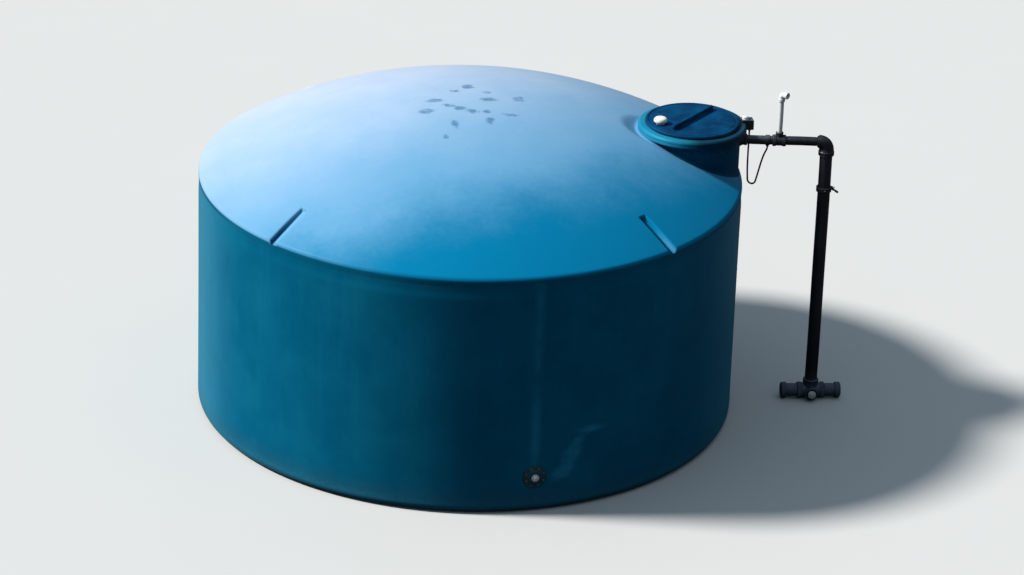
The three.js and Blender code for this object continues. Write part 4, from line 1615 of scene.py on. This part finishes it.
@dataclass(frozen=True)
class Manway:
    """The raised neck, its lip ring and seal, and the screw-on lid with its grip bar and vent.

    grip_draws holds how far the grip bar's sides are drawn in at each share of its height.
    """

    neck_radius: float = 0.320
    neck_inner: float = 0.308
    fillet: float = 0.022
    ring_radius: float = 0.3595
    ring_inner: float = 0.282
    seal: tuple[float, float] = (0.2842, 0.3058)
    lid_radius: float = 0.3115
    skirt: tuple[float, float] = (0.256, 0.268)
    grip_length: float = 0.494
    grip_width: float = 0.040
    grip_turn: float = 51.5
    grip_draws: tuple[tuple[float, float], ...] = (
        (0.0, 0.0), (0.05, -0.0022), (0.12, -0.0036), (0.3, -0.0044), (0.55, -0.0052), (0.74, -0.0062),
        (0.86, -0.008), (0.94, -0.0105), (0.985, -0.0135), (1.0, -0.0165))
    vent_radius: float = 0.0449
    vent_stem: float = 0.0238

    @staticmethod
    def axis_x() -> float:
        """Returns where the manway's axis stands on X."""
        return middle("manway_ring").x

    @staticmethod
    def ring_foot() -> float:
        """Returns the height of the ring's underside."""
        return low("manway_ring").z

    @property
    def place(self) -> Matrix:
        """Returns the move from the tank's axis to the manway's."""
        return shift(self.axis_x())

    def neck_column(self, turn: float) -> list[tuple[float, float, float]]:
        """Returns the neck's section at one turn about the manway's axis, as a loop of points.

        Args:
            turn: The angle about the manway's axis.

        Returns:
            The section's points.
        """
        dome = TankShell().dome
        inner, r, rim = self.neck_inner, self.neck_radius, self.ring_foot() - 0.0003
        x, y = math.cos(turn), math.sin(turn)

        def tank_radius(reach: float) -> float:
            """Returns how far from the tank's axis a place lies, from its distance to the manway's."""
            return float(np.hypot(self.axis_x() + x * reach, y * reach))

        def surface(reach: float) -> float:
            """Returns the roof's height at a distance from the manway's axis."""
            return float(dome.height(np.array(min(tank_radius(reach), dome.radius - 0.0005))))

        size = min(self.fillet, max(0.004, 0.55 * (dome.radius - tank_radius(r))))
        level = min(surface(r), self.ring_foot() - 0.001)
        foot_z = min(surface(r + size), self.ring_foot() - 0.001) - 0.0006
        start = np.array([r, min(level + size, self.ring_foot() - 0.0005)])
        flare = bend(start, np.array([r, level]), np.array([r + size, foot_z]), 7)[::-1]
        under = surface(inner) - 0.009 if size > 0.0041 else level - 0.02
        section = [(inner, under), (r - 0.002, level - 0.004), *flare, (r, rim), (inner, rim)]
        return [(x * reach, y * reach, z) for reach, z in section]

    def neck(self) -> None:
        """Makes the neck, which flares into the dome in a fillet that is small near the rim."""
        columns = [self.neck_column(turn) for turn in np.linspace(0, 2 * math.pi, 144, endpoint=False)]
        sheet = grid(np.array(columns).transpose(1, 0, 2), True)
        publish(sheet, self.place, "manway_neck_moulding", NECK_FINISH, "manway_neck", crease=50.0)

    def ring(self) -> None:
        """Makes the lip ring, with its thread inside and a shadow line outside."""
        foot, top = rise("manway_ring")
        r, hole = self.ring_radius, self.ring_inner
        corners = [(hole, foot, 0.002), (r - 0.006, foot, 0.003), (r, foot + 0.006, 0.003),
                   (r, foot + 0.019, 0.001), (r - 0.0022, foot + 0.0205, 0.001), (r, foot + 0.022, 0.001),
                   (r, top - 0.012, 0.006), (r - 0.012, top, 0.005), (0.3085, top, 0.001),
                   (0.307, top - 0.0015, 0.001), (hole + 0.002, top - 0.0015, 0.001),
                   *((hole, z, 0) for z in np.linspace(top - 0.004, foot + 0.003, 42))]
        thread = Thread(foot + 0.006, top - 0.006)

        def shape(radii: np.ndarray, angles: np.ndarray, heights: np.ndarray) -> np.ndarray:
            """Raises the thread on the inner face."""
            return np.where(radii < hole + 1e-6, radii - thread.ridge(angles, heights), radii)

        publish(lathe(corners, 192, shape), self.place, "manway_lip_ring", RING_FINISH, "manway_ring")

    def gasket(self) -> None:
        """Makes the thin seal, with two beads, that lies between the ring and the lid."""
        (inner, outer), (base, top) = self.seal, rise("lid_seal")
        width, mid = outer - inner, (base + top) / 2
        corners = [(inner, base, 0.0008), (outer, base, 0.0012), (outer, top, 0.0012),
                   (outer - 0.3 * width, top, 0.0008), (inner + 0.5 * width, mid, 0.002),
                   (inner + 0.3 * width, top, 0.0008), (inner, top, 0.0008)]
        publish(lathe(corners, 160), self.place, "lid_gasket", SEAL_FINISH, "lid_seal", body=Body.SEAL)

    def lid(self) -> None:
        """Makes the lid: a rimmed disc, with its skirt, thread and stiffening ribs below."""
        (base, top), foot = rise("manway_lid"), low("lid_skirt").z
        r, (hole, outer) = self.lid_radius, self.skirt
        thread = Thread(foot + 0.004, base - 0.004)
        under = [(0, base + 0.004, 0), (hole - 0.03, base + 0.004, 0.01), (hole, base - 0.002, 0.004),
                 (hole, foot, 0.003), (outer - 0.001, foot, 0.002),
                 *((outer, z, 0) for z in np.linspace(foot + 0.003, base - 0.003, 30))]
        edge = [(outer, base, 0.002), (r - 0.002, base, 0.001), (r, base + 0.002, 0.001),
                (r, top - 0.009, 0.006), (r - 0.007, top, 0.005), (r - 0.019, top, 0.002),
                (r - 0.022, top - 0.004, 0.002), (r - 0.030, top - 0.004, 0.002),
                (r - 0.033, top - 0.0012, 0.003), (0.19, top - 0.0012, 0.002),
                (0.187, top - 0.0002, 0.001), (0.181, top - 0.0002, 0.001),
                (0.178, top - 0.0012, 0.001), (0.06, top - 0.0012, 0.002), (0, top - 0.0012, 0)]

        def shape(radii: np.ndarray, angles: np.ndarray, heights: np.ndarray) -> np.ndarray:
            """Raises the thread on the skirt's outer face."""
            on_skirt = (np.abs(radii - outer) < 1e-6) & (heights < base - 0.001)
            return np.where(on_skirt, radii + thread.ridge(angles, heights), radii)

        rib = prism([(0.03, base - 0.010), (hole + 0.002, base - 0.014), (hole + 0.002, base + 0.006),
                     (0.03, base + 0.006)], 0.006, 0.0012)
        boss = [(0, -0.014, 0), (0.045, -0.014, 0.003), (0.045, 0.006, 0), (0, 0.006, 0)]
        ribs = [rib.placed(spin(45 * index)) for index in range(8)]
        draft = joined([lathe(under + edge, 192, shape), lathe(boss, 64, at=base), *ribs])
        publish(draft, self.place, "manway_lid_moulding", LID_FINISH, "manway_lid", "lid_skirt",
                body=Body.LID)

    def grip(self) -> None:
        """Makes the grip bar across the lid, with a flared foot, drawn sides and finger hollows."""
        base, top = low("lid_grip_bar").z - 0.0014, high("lid_grip_bar").z
        half_width = self.grip_width / 2
        half_length = self.grip_length / 2 - half_width
        turns, shares = np.linspace(-math.pi / 2, math.pi / 2, 17), np.linspace(0, 1, 25)[1:-1]
        loops = []
        for level, draw in self.grip_draws:
            half = half_width + draw
            arc = np.column_stack([half_length + half * np.cos(turns), half * np.sin(turns)])
            flat = np.column_stack([half_length * (1 - 2 * shares), np.full_like(shares, half)])
            xy = np.vstack([arc, flat, -arc, -flat])
            fingers = np.exp(-((np.abs(xy[:, 0]) - 0.11) / 0.05) ** 2)
            hollow = 0.006 * math.sin(math.pi * min(level, 0.9) / 0.9) * fingers
            xy[:, 1] -= np.sign(xy[:, 1]) * np.minimum(hollow, np.abs(xy[:, 1]) * 0.6)
            loops.append(np.column_stack([xy, np.full(len(xy), base + level * (top - base))]))
        publish(stacked(loops), self.place @ spin(self.grip_turn), "lid_grip_bar_moulding", LID_FINISH,
                "lid_grip_bar", body=Body.LID, crease=55.0)

    def vent(self) -> None:
        """Makes the white breather: a mushroom cap over a slotted stem."""
        base, top = rise("lid_vent_cap")
        height, r, stem = top - base, self.vent_radius, self.vent_stem
        lip = base + 0.36 * height
        cap = [(0, lip + 0.006, 0), (r - 0.005, lip + 0.006, 0.002), (r - 0.003, lip, 0.0015),
               (r, lip, 0.0015), (r, base + 0.62 * height, 0.008), (r * 0.86, base + 0.88 * height, 0.008),
               (r * 0.5, top, 0.01), (0, top, 0)]
        flange = [(0, -0.001, 0), (stem + 0.006, -0.001, 0.001), (stem + 0.006, 0.003, 0.001),
                  (stem, 0.004, 0.001), (stem - 0.006, 0.005, 0), (0, 0.005, 0)]
        fin = block((stem - 0.007, stem), (base, lip + 0.008), 0.0035, 0.0006)
        fins = [fin.placed(spin(22.5 * index)) for index in range(16)]
        draft = joined([lathe(cap, 96, steps=5), lathe(flange, 96, at=base), *fins])
        place = stand("lid_vent_cap")
        publish(draft, place, "lid_vent_mushroom", WHITE_FINISH, "lid_vent_cap", body=Body.LID)
        core = bar(stem - 0.006, base + 0.001, lip + 0.008)
        publish(core, place, "lid_vent_core", SEAL_FINISH, body=Body.LID)

    def build(self) -> None:
        """Makes the neck, the ring, the seal, the lid and what is on it."""
        self.neck()
        self.ring()
        self.gasket()
        self.lid()
        self.grip()
        self.vent()


# The fill line


@dataclass(frozen=True)
class FillLine:
    """The black line from the manway's neck over to the riser and down it, with its white vent pipe."""

    pipe: float = 0.0298
    collar: float = 0.0388
    riser: float = 0.0438
    riser_collar: float = 0.0525
    flange: float = 0.0458
    vent: float = 0.0164
    vent_bend: float = 0.025
    vent_socket: float = 0.0224
    vent_socket_length: float = 0.024
    vent_turn: float = -40.0
    elbow_bend: float = 0.052
    foot_half: float = 0.0938
    foot_front: float = 0.0838
    cock_barb: tuple[Corner, ...] = (
        (0, 0, 0), (0.0088, 0, 0.001), (0.0088, 0.022, 0.001), (0.0062, 0.026, 0.001), (0.0062, 0.036, 0.001),
        (0.0084, 0.040, 0.0005), (0.0062, 0.0475, 0.0005), (0.0084, 0.0515, 0.0005), (0.0062, 0.0605, 0.0005),
        (0, 0.0605, 0))
    cock_lever: tuple[tuple[float, float], ...] = (
        (-0.005, 0.006), (0.021, 0.0145), (0.021, 0.0175), (-0.005, 0.0125))
    plug: tuple[Corner, ...] = (
        (0, 0, 0), (0.0272, 0, 0.001), (0.0272, 0.010, 0.002), (0.020, 0.012, 0.001), (0.0135, 0.0125, 0.001),
        (0.0135, 0.0215, 0.001), (0, 0.0215, 0))

    @property
    def turn(self) -> float:
        """Returns the crossover's turn from +X about the manway, in degrees."""
        return math.degrees(math.atan2(middle("riser_pipe").y, middle("riser_pipe").x - Manway.axis_x()))

    @property
    def length(self) -> float:
        """Returns the distance from the manway's axis to the riser's."""
        return math.hypot(middle("riser_pipe").y, middle("riser_pipe").x - Manway.axis_x())

    @property
    def level(self) -> float:
        """Returns the height of the crossover's axis."""
        return middle("crossover_pipe_inner").z

    @property
    def across(self) -> Matrix:
        """Returns the crossover's frame, with X along it from the manway's axis."""
        return shift(Manway.axis_x(), 0, self.level) @ spin(self.turn)

    def along(self, node: str) -> tuple[float, float]:
        """Returns where a node starts and ends along the crossover.

        Args:
            node: The node.

        Returns:
            Its two distances from the manway's axis.
        """
        turn, axis = math.radians(self.turn), Manway.axis_x()
        trim = math.sin(-turn) * (high(node).z - low(node).z) / 2
        return (low(node).x - axis + trim) / math.cos(turn), (high(node).x - axis - trim) / math.cos(turn)

    def inlet(self) -> None:
        """Makes the fitting in the neck: gasket, ribbed flange nut, socket and the nut inside."""
        neck, place = Manway().neck_radius, self.across @ ALONG_X
        start, end = neck - 0.004, self.along("inlet_fitting")[1]
        socket, length = self.collar - 0.003, end - 0.004 - start
        body = lathe([(0, 0, 0), (self.flange, 0, 0.001), (self.flange, 0.008, 0.002),
                      (self.flange - 0.005, 0.011, 0.002), (socket, 0.03, 0.002), (socket, length, 0),
                      (0, length, 0)], 96, at=start)
        draft = joined([body, nut(self.collar, end - 0.024, end), bar(self.pipe, neck - 0.040, start + 0.01)])
        publish(draft, place, "inlet_bulkhead_fitting", BLACK_FINISH, "inlet_fitting")
        inner = Manway().neck_inner - 0.0015
        eases = (0.0006, 0.003, 0.001, 0.0006)
        lock = collar(self.pipe + 0.0003, 0.046, inner - 0.016, inner - 0.001, eases, 96, flats(6, 0.040))
        publish(lock, place, "inlet_inner_nut", BLACK_FINISH, "inlet_lock_nut")

    def pipes(self) -> None:
        """Makes the two crossover pipes, bowed a little by the sun."""
        share = np.linspace(0, 1, 15)
        radii = self.pipe - 0.0008 * (np.abs(share - 0.5) > 0.499)
        for node, name, sag in (("crossover_pipe_inner", "crossover_pipe_near_tank", 0.0008),
                                ("crossover_pipe_outer", "crossover_pipe_near_riser", -0.001)):
            start, end = self.along(node)
            path = np.column_stack([start + (end - start) * share, 0 * share, -sag * np.sin(math.pi * share)])
            publish(swept(path, radii, 64), self.across, name, BLACK_FINISH, node)

    def tee(self) -> None:
        """Makes the tee, with a ribbed nut at each end and one under the vent pipe."""
        start, end = self.along("vent_tee")
        top, branch = high("vent_tee").z - self.level, self.vent + 0.0088
        run = joined([bar(self.collar - 0.004, start + 0.01, end - 0.01, 0.003),
                      nut(self.collar, start, start + 0.027), nut(self.collar, end - 0.027, end)])
        stem = post(branch - 0.003, top - 0.02, 64) + nut(branch, top - 0.024, top, 14)
        upright = stem.placed(shift((start + end) / 2))
        publish(run.placed(ALONG_X) + upright, self.across, "vent_tee_fitting", BLACK_FINISH, "vent_tee")

    def vent_pipe(self) -> None:
        """Makes the white vent pipe and the open elbow on top of it, with a screen in its mouth."""
        place = stand("vent_pipe")
        base, top = rise("vent_pipe")
        share = np.linspace(0, 1, 17)
        path = np.column_stack([0.001 * np.sin(math.pi * share), 0 * share, base + (top - base) * share])
        publish(swept(path, self.vent, 48), place, "vent_pipe_white", WHITE_FINISH, "vent_pipe")
        foot, r = low("vent_pipe_elbow").z, self.vent_socket
        turn, length = self.vent_bend, self.vent_socket_length
        socket = lathe([(0, 0, 0), (r - 0.001, 0, 0.001), (r, 0.002, 0.001), (r, length - 0.005, 0.002),
                        (r - 0.003, length + 0.001, 0.002), (0, length + 0.001, 0)], 64, at=foot)
        angles = np.linspace(0, math.pi / 2, 17)
        rising = foot + length + turn * np.sin(angles)
        curve = np.column_stack([turn - turn * np.cos(angles), 0 * angles, rising])
        end, hole = turn + length, self.vent - 0.001
        seat = end - 0.030
        mouth = lathe([(0, seat, 0), (hole, seat, 0.001), (hole, end - 0.001, 0.001),
                       (hole + 0.002, end, 0.001), (r - 0.001, end, 0.001), (r, end - 0.002, 0.001),
                       (r, turn + 0.005, 0.002), (r - 0.003, turn - 0.001, 0.002),
                       (0, turn - 0.001, 0)], 64).flipped()
        at = place @ spin(self.turn + self.vent_turn)
        aside = shift(z=foot + length + turn) @ ALONG_X
        body = socket + swept(curve, self.vent + 0.0032, 48) + mouth.placed(aside)
        publish(body, at, "vent_pipe_open_elbow", WHITE_FINISH, "vent_pipe_elbow")
        screen = bar(hole - 0.0002, seat + 0.001, seat + 0.003, 0.0003, 48)
        publish(screen, at @ aside, "vent_pipe_screen", SEAL_FINISH)

    def elbow(self) -> None:
        """Makes the elbow, with a ribbed nut on its inlet and one on its outlet."""
        size, start = self.elbow_bend, self.along("riser_elbow")[0]
        drop = self.level - low("riser_elbow").z
        turn = np.linspace(math.pi / 2, 0, 17)
        reach = self.length - size + size * np.cos(turn)
        curve = np.column_stack([reach, 0 * turn, -size + size * np.sin(turn)])
        body = swept(curve, np.linspace(self.riser + 0.001, self.riser + 0.0045, 17), 64)
        lip = bar(self.collar, start, self.length - size + 0.004, 0.002)
        inlet = nut(self.collar, start, start + 0.026) + lip
        wide = self.riser_collar
        outlet = nut(wide, -drop, -size - 0.006, 20) + bar(wide - 0.003, -size - 0.02, -size)
        draft = joined([body, inlet.placed(ALONG_X), outlet.placed(shift(self.length))])
        publish(draft, self.across, "riser_elbow_fitting", BLACK_FINISH, "riser_elbow")

    def riser_pipe(self) -> None:
        """Makes the riser, bowed a little, and the small drain cock on it."""
        base, top = rise("riser_pipe")
        share = np.linspace(0, 1, 41)
        sway = 0.0016 * np.sin(math.pi * share) + 0.0006 * np.sin(3 * math.pi * share)
        path = np.column_stack([sway, 0 * share, base + (top - base) * share])
        publish(swept(path, self.riser - 0.002, 72), stand("riser_pipe"), "riser_pipe_black", BLACK_FINISH,
                "riser_pipe")
        band_r, half = self.riser + 0.008, 0.016
        band = collar(self.riser - 0.0005, band_r - 0.001, -half, half, (0.001, 0.002, 0.002, 0.001), 72)
        down = shift(self.riser + 0.003, 0, 0.006) @ spin(34, "Y")
        barb = lathe(self.cock_barb, 32).placed(down @ ALONG_X)
        lever = prism(self.cock_lever, 0.009, 0.001).placed(down)
        screws = [bolt(0.0045, 0.005).placed(spin(180 * side) @ shift(y=0.001 - band_r) @ spin(90, "X"))
                  for side in (0, 1)]
        lift = stand("riser_pipe") @ shift(z=middle("riser_drain_cock").z + 0.0102)
        publish(joined([band, barb, lever]), lift, "riser_cock", BLACK_FINISH, "riser_drain_cock")
        publish(joined(screws), lift, "riser_cock_screws", STEEL_FINISH)

    def foot(self) -> None:
        """Makes the foot fitting, its white plug, and the two capped stubs on the ground."""
        level = middle("foot_end_cap_right").z
        at = stand("riser_pipe") @ shift(z=level)
        forward = spin(-90) @ ALONG_X
        size, half, end, r = level - 0.0004, self.foot_half, self.foot_front, self.riser_collar
        top = high("riser_foot_fitting").z - level
        run = joined([bar(size - 0.004, -half + 0.01, half - 0.01, 0.004),
                      nut(size, -half, -half + 0.034, 20), nut(size, half - 0.034, half, 20)])
        upright = post(r - 0.003, top - 0.02, 72)
        front = bar(self.riser - 0.002, 0, end, 0.002) + nut(self.riser, end - 0.027, end, 16)
        draft = joined([run.placed(ALONG_X), upright, nut(r, top - 0.034, top, 20), front.placed(forward)])
        publish(draft, at, "riser_foot_tee", BLACK_FINISH, "riser_foot_fitting")
        seat = end + 0.0006
        plug = lathe(self.plug, 64, flats(4, 0.0105, seat + 0.0125), at=seat)
        publish(plug, at @ forward, "foot_white_plug", WHITE_FINISH, "foot_front_plug")
        stub = bar(self.riser - 0.0004, 0.0944, 0.1648)
        cap = lathe([(0, 0.1654, 0), (r - 0.001, 0.1654, 0.001), (r, 0.169, 0.001), (r, 0.172, 0),
                     (r, 0.192, 0), (r, 0.196, 0.004), (r - 0.01, 0.2045, 0.004), (0.02, 0.2045, 0.001),
                     (0.018, 0.203, 0.001), (0, 0.203, 0)], 240, ribbed(20, 0.003, 0.1705, 0.1935))
        for side, way in (("right", 0), ("left", 180)):
            place = at @ spin(way) @ ALONG_X
            publish(stub, place, f"ground_stub_{side}", BLACK_FINISH, f"foot_stub_{side}")
            publish(cap, place, f"ground_stub_cap_{side}", BLACK_FINISH, f"foot_end_cap_{side}")

    def build(self) -> None:
        """Makes the line from the neck to the ground."""
        self.inlet()
        self.pipes()
        self.tee()
        self.vent_pipe()
        self.elbow()
        self.riser_pipe()
        self.foot()


# The level lead


@dataclass(frozen=True)
class LevelLead:
    """The sensor box on the ring, and the lead that hangs from it in a loop to the crossover.

    route holds the share of the way from end to end, and the height, of points that the lead runs through.
    """

    turn: float = 4.0
    inner: float = 0.328
    outer: float = 0.408
    half: float = 0.032
    gland_at: float = 0.386
    clamp_at: float = 0.502
    clamp_half: float = 0.0138
    thickness: float = 0.012
    length: float = 0.694
    route: tuple[tuple[float, float], ...] = (
        (0, 1.865), (0, 1.81), (0, 1.755), (0.002, 1.7), (0.008, 1.65), (0.023, 1.605), (0.039, 1.575),
        (0.053, 1.554), (0.089, 1.543), (0.154, 1.535), (0.237, 1.532), (0.324, 1.533), (0.4, 1.539),
        (0.452, 1.548), (0.519, 1.58), (0.58, 1.615), (0.648, 1.655), (0.718, 1.695), (0.8, 1.735),
        (0.887, 1.768), (0.948, 1.787), (0.985, 1.799), (0.9995, 1.81))

    @property
    def mount(self) -> Matrix:
        """Returns the box's frame, with X out from the manway's axis."""
        return Manway().place @ spin(self.turn)

    @property
    def ends(self) -> tuple[Vector, Vector]:
        """Returns where the lead leaves its gland and where it enters the clamp.

        Returns:
            The two places.
        """
        line = FillLine()
        start = self.mount @ Vector((self.gland_at, 0, low("lead_gland").z - 0.0003))
        return start, line.across @ Vector((self.clamp_at, 0, low("lead_clamp").z - 0.0003 - line.level))

    def smooth_route(self, steps: int = 8) -> list[Vector]:
        """Returns the lead's centre line: a centripetal curve through the route's points.

        Args:
            steps: Stretches between two of the route's points.

        Returns:
            The line's points.
        """
        start, end = self.ends
        flat = [start.lerp(end, share) for share, _ in self.route]
        spots = [start, *(Vector((spot.x, spot.y, z)) for spot, (_, z) in zip(flat, self.route)), end]
        spots = [spots[0] * 2 - spots[1], *spots, spots[-1] * 2 - spots[-2]]
        line = []
        for a, b, c, d in zip(spots, spots[1:], spots[2:], spots[3:]):
            t1 = (b - a).length ** 0.5
            t2 = t1 + (c - b).length ** 0.5
            t3 = t2 + (d - c).length ** 0.5
            for t in np.linspace(t1, t2, steps, endpoint=False):
                p = a.lerp(b, t / t1)
                q = b.lerp(c, (t - t1) / (t2 - t1))
                r = c.lerp(d, (t - t2) / (t3 - t2))
                line.append(p.lerp(q, t / t2).lerp(q.lerp(r, (t - t1) / (t3 - t1)), (t - t1) / (t2 - t1)))
        return [*line, end]

    def lead(self) -> None:
        """Makes the lead."""
        curve = bpy.data.curves.new("level_lead_cable", "CURVE")
        curve.dimensions = "3D"
        curve.bevel_depth = self.thickness / 2 - 0.0001
        curve.bevel_resolution = 5
        curve.use_fill_caps = True
        line = self.smooth_route()
        spline = curve.splines.new("POLY")
        spline.points.add(len(line) - 1)
        for point, spot in zip(spline.points, line):
            point.co = (*spot, 1.0)
        thing = dress(linked("level_lead_cable", curve), LEAD_FINISH, "level_lead")
        tuple(self.ends[0])
        self.length

    def box(self) -> None:
        """Makes the box that hooks over the ring, with its lid and the lid's screws."""
        (base, top), near, far = rise("lead_box"), self.inner, self.outer
        rest, reach = high("manway_ring").z + 0.0005, Manway().ring_radius + 0.0018
        seam, depth = top - 0.016, 2 * self.half
        lower = prism([(reach, base), (far, base), (far, seam), (near + 0.001, seam), (near + 0.001, rest),
                       (reach, rest)], depth, 0.002)
        upper = prism([(near, seam + 0.0012), (far, seam + 0.0012), (far, top - 0.005), (far - 0.005, top),
                       (near, top)], depth, 0.0022)
        rim = block((near + 0.004, far - 0.004), (seam - 0.001, seam + 0.003), depth - 0.008, 0.0005)
        publish(joined([lower, upper, rim]), self.mount, "level_sensor_box", BLACK_FINISH, "lead_box")
        head = lathe([(0, -0.001, 0), (0.0042, -0.001, 0), (0.0042, 0.0008, 0.0006), (0.0015, 0.0016, 0.0004),
                      (0, 0.0012, 0)], 24)
        side = self.half - 0.007
        screws = [head.placed(shift(x, y, top)) for x in (near + 0.006, far - 0.012) for y in (side, -side)]
        publish(joined(screws), self.mount, "level_sensor_screws", STEEL_FINISH)

    def cap_and_gland(self) -> None:
        """Makes the white cap on the box and the gland under it."""
        foot, peak = rise("lead_box_cap")
        r = (high("lead_box_cap").x - low("lead_box_cap").x) / 2
        cap = lathe([(0, foot, 0), (r, foot, 0.001), (r, foot + 0.003, 0.0008),
                     (r - 0.001, foot + 0.004, 0.0008), (r - 0.001, peak - 0.006, 0.005),
                     (r - 0.006, peak, 0.004), (0, peak, 0)], 216,
                    ribbed(18, 0.0014, foot + 0.0045, peak - 0.006))
        publish(cap, stand("lead_box_cap"), "level_sensor_cap", WHITE_FINISH, "lead_box_cap")
        end, start = rise("lead_gland")
        gland = lathe([(0, end, 0), (0.0068, end, 0.0008), (0.0085, end + 0.006, 0.001),
                       (0.0098, end + 0.007, 0.0006), (0.0098, start, 0.0005), (0, start, 0)], 48,
                      flats(6, 0.0092))
        publish(gland, self.mount @ shift(self.gland_at), "level_lead_gland", BLACK_FINISH, "lead_gland")

    def clamp(self) -> None:
        """Makes the clamp on the crossover, with its screw and its entry for the lead."""
        line, half = FillLine(), self.clamp_half
        ring, base = line.pipe + 0.0048, low("lead_clamp").z - line.level
        band = collar(line.pipe + 0.0001, ring, -half, half, (0.0008, 0.0015, 0.0015, 0.0008), 72)
        entry = lathe([(0, base, 0), (0.0075, base, 0.001), (0.0096, base + 0.007, 0.001),
                       (0.0096, -line.pipe - 0.001, 0), (0, -line.pipe - 0.001, 0)], 48)
        at = line.across @ shift(self.clamp_at)
        publish(band.placed(ALONG_X) + entry, at, "level_lead_clamp", BLACK_FINISH, "lead_clamp")
        publish(bolt(0.0038, 0.0035), at @ shift(z=ring - 0.0008), "level_lead_clamp_screw", STEEL_FINISH)

    def build(self) -> None:
        """Makes the lead first, then the box, what is on it and the clamp."""
        self.lead()
        self.box()
        self.cap_and_gland()
        self.clamp()


# The drain


@dataclass(frozen=True)
class DrainFitting:
    """The bolted fitting low in the wall, with its plug outside and its nut inside."""

    turn: float = -79.4
    flange: float = 0.0745
    barrel: float = 0.036
    plug: float = 0.0246
    bolts: int = 8
    bolt_circle: float = 0.060
    face: float = 0.0175  # beyond the wall

    @property
    def seat(self) -> Matrix:
        """Returns the fitting's frame, with X out from the tank's axis."""
        return spin(self.turn) @ shift(z=middle("drain_plug").z)

    def build(self) -> None:
        """Makes the flange, its gasket, its bolts, the plug and the inner nut."""
        wall = TankShell().radius
        place, edge, face = self.seat @ ALONG_X, self.flange, self.face
        body = lathe([(0, -0.004, 0), (edge, -0.004, 0), (edge, 0.008, 0.003), (edge - 0.022, 0.0105, 0.004),
                      (self.barrel + 0.004, face, 0.002), (0, face, 0)], 96, at=wall)
        draft = body + bar(self.barrel - 0.0004, wall - 0.048, wall)
        publish(draft, place, "drain_bulkhead_flange", FLANGE_FINISH, "drain_fitting")
        gasket = collar(edge - 0.03, edge + 0.0012, wall - 0.004, wall + 0.0012, (0, 0, 0.0008, 0), 96)
        publish(gasket, place, "drain_gasket", SEAL_FINISH)
        head = bolt(0.0062, 0.0062).placed(shift(self.bolt_circle, 0, wall + 0.0085))
        heads = [head.placed(spin((index + 0.5) * 360 / self.bolts)) for index in range(self.bolts)]
        publish(joined(heads), place, "drain_bolts", STEEL_FINISH)
        key = flats(4, 0.0095, wall + face + 0.0108, flats(8, 0.0232))
        plug = lathe([(0, 0.0005, 0), (self.plug, 0.0005, 0.001), (self.plug, 0.009, 0.002),
                      (self.plug - 0.007, 0.0105, 0.001), (0.0125, 0.011, 0.001), (0.0125, 0.022, 0.0015),
                      (0, 0.022, 0)], 96, key, at=wall + face)
        publish(plug, place, "drain_white_plug", WHITE_FINISH, "drain_plug")
        inner = wall - 0.0105
        lock = collar(self.barrel, 0.060, inner - 0.024, inner - 0.0015, (0.001, 0.003, 0.001, 0.001), 96,
                      flats(6, 0.0518))
        publish(lock, place, "drain_inner_nut", BLACK_FINISH, "drain_lock_nut")


def main() -> None:
    """Builds the studio and every sub-assembly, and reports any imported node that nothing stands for."""
    logging.basicConfig(level=logging.INFO, format="%(name)s: %(message)s")
    for assembly in (Studio, LevelLead, TankShell, Manway, FillLine, DrainFitting):
        assembly().build()
    bare = [name for name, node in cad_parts.items() if not node.hide_render]
    LOG.info("packed nodes still shown: %s", bare or "none")


if __name__ == "__main__":
    main()
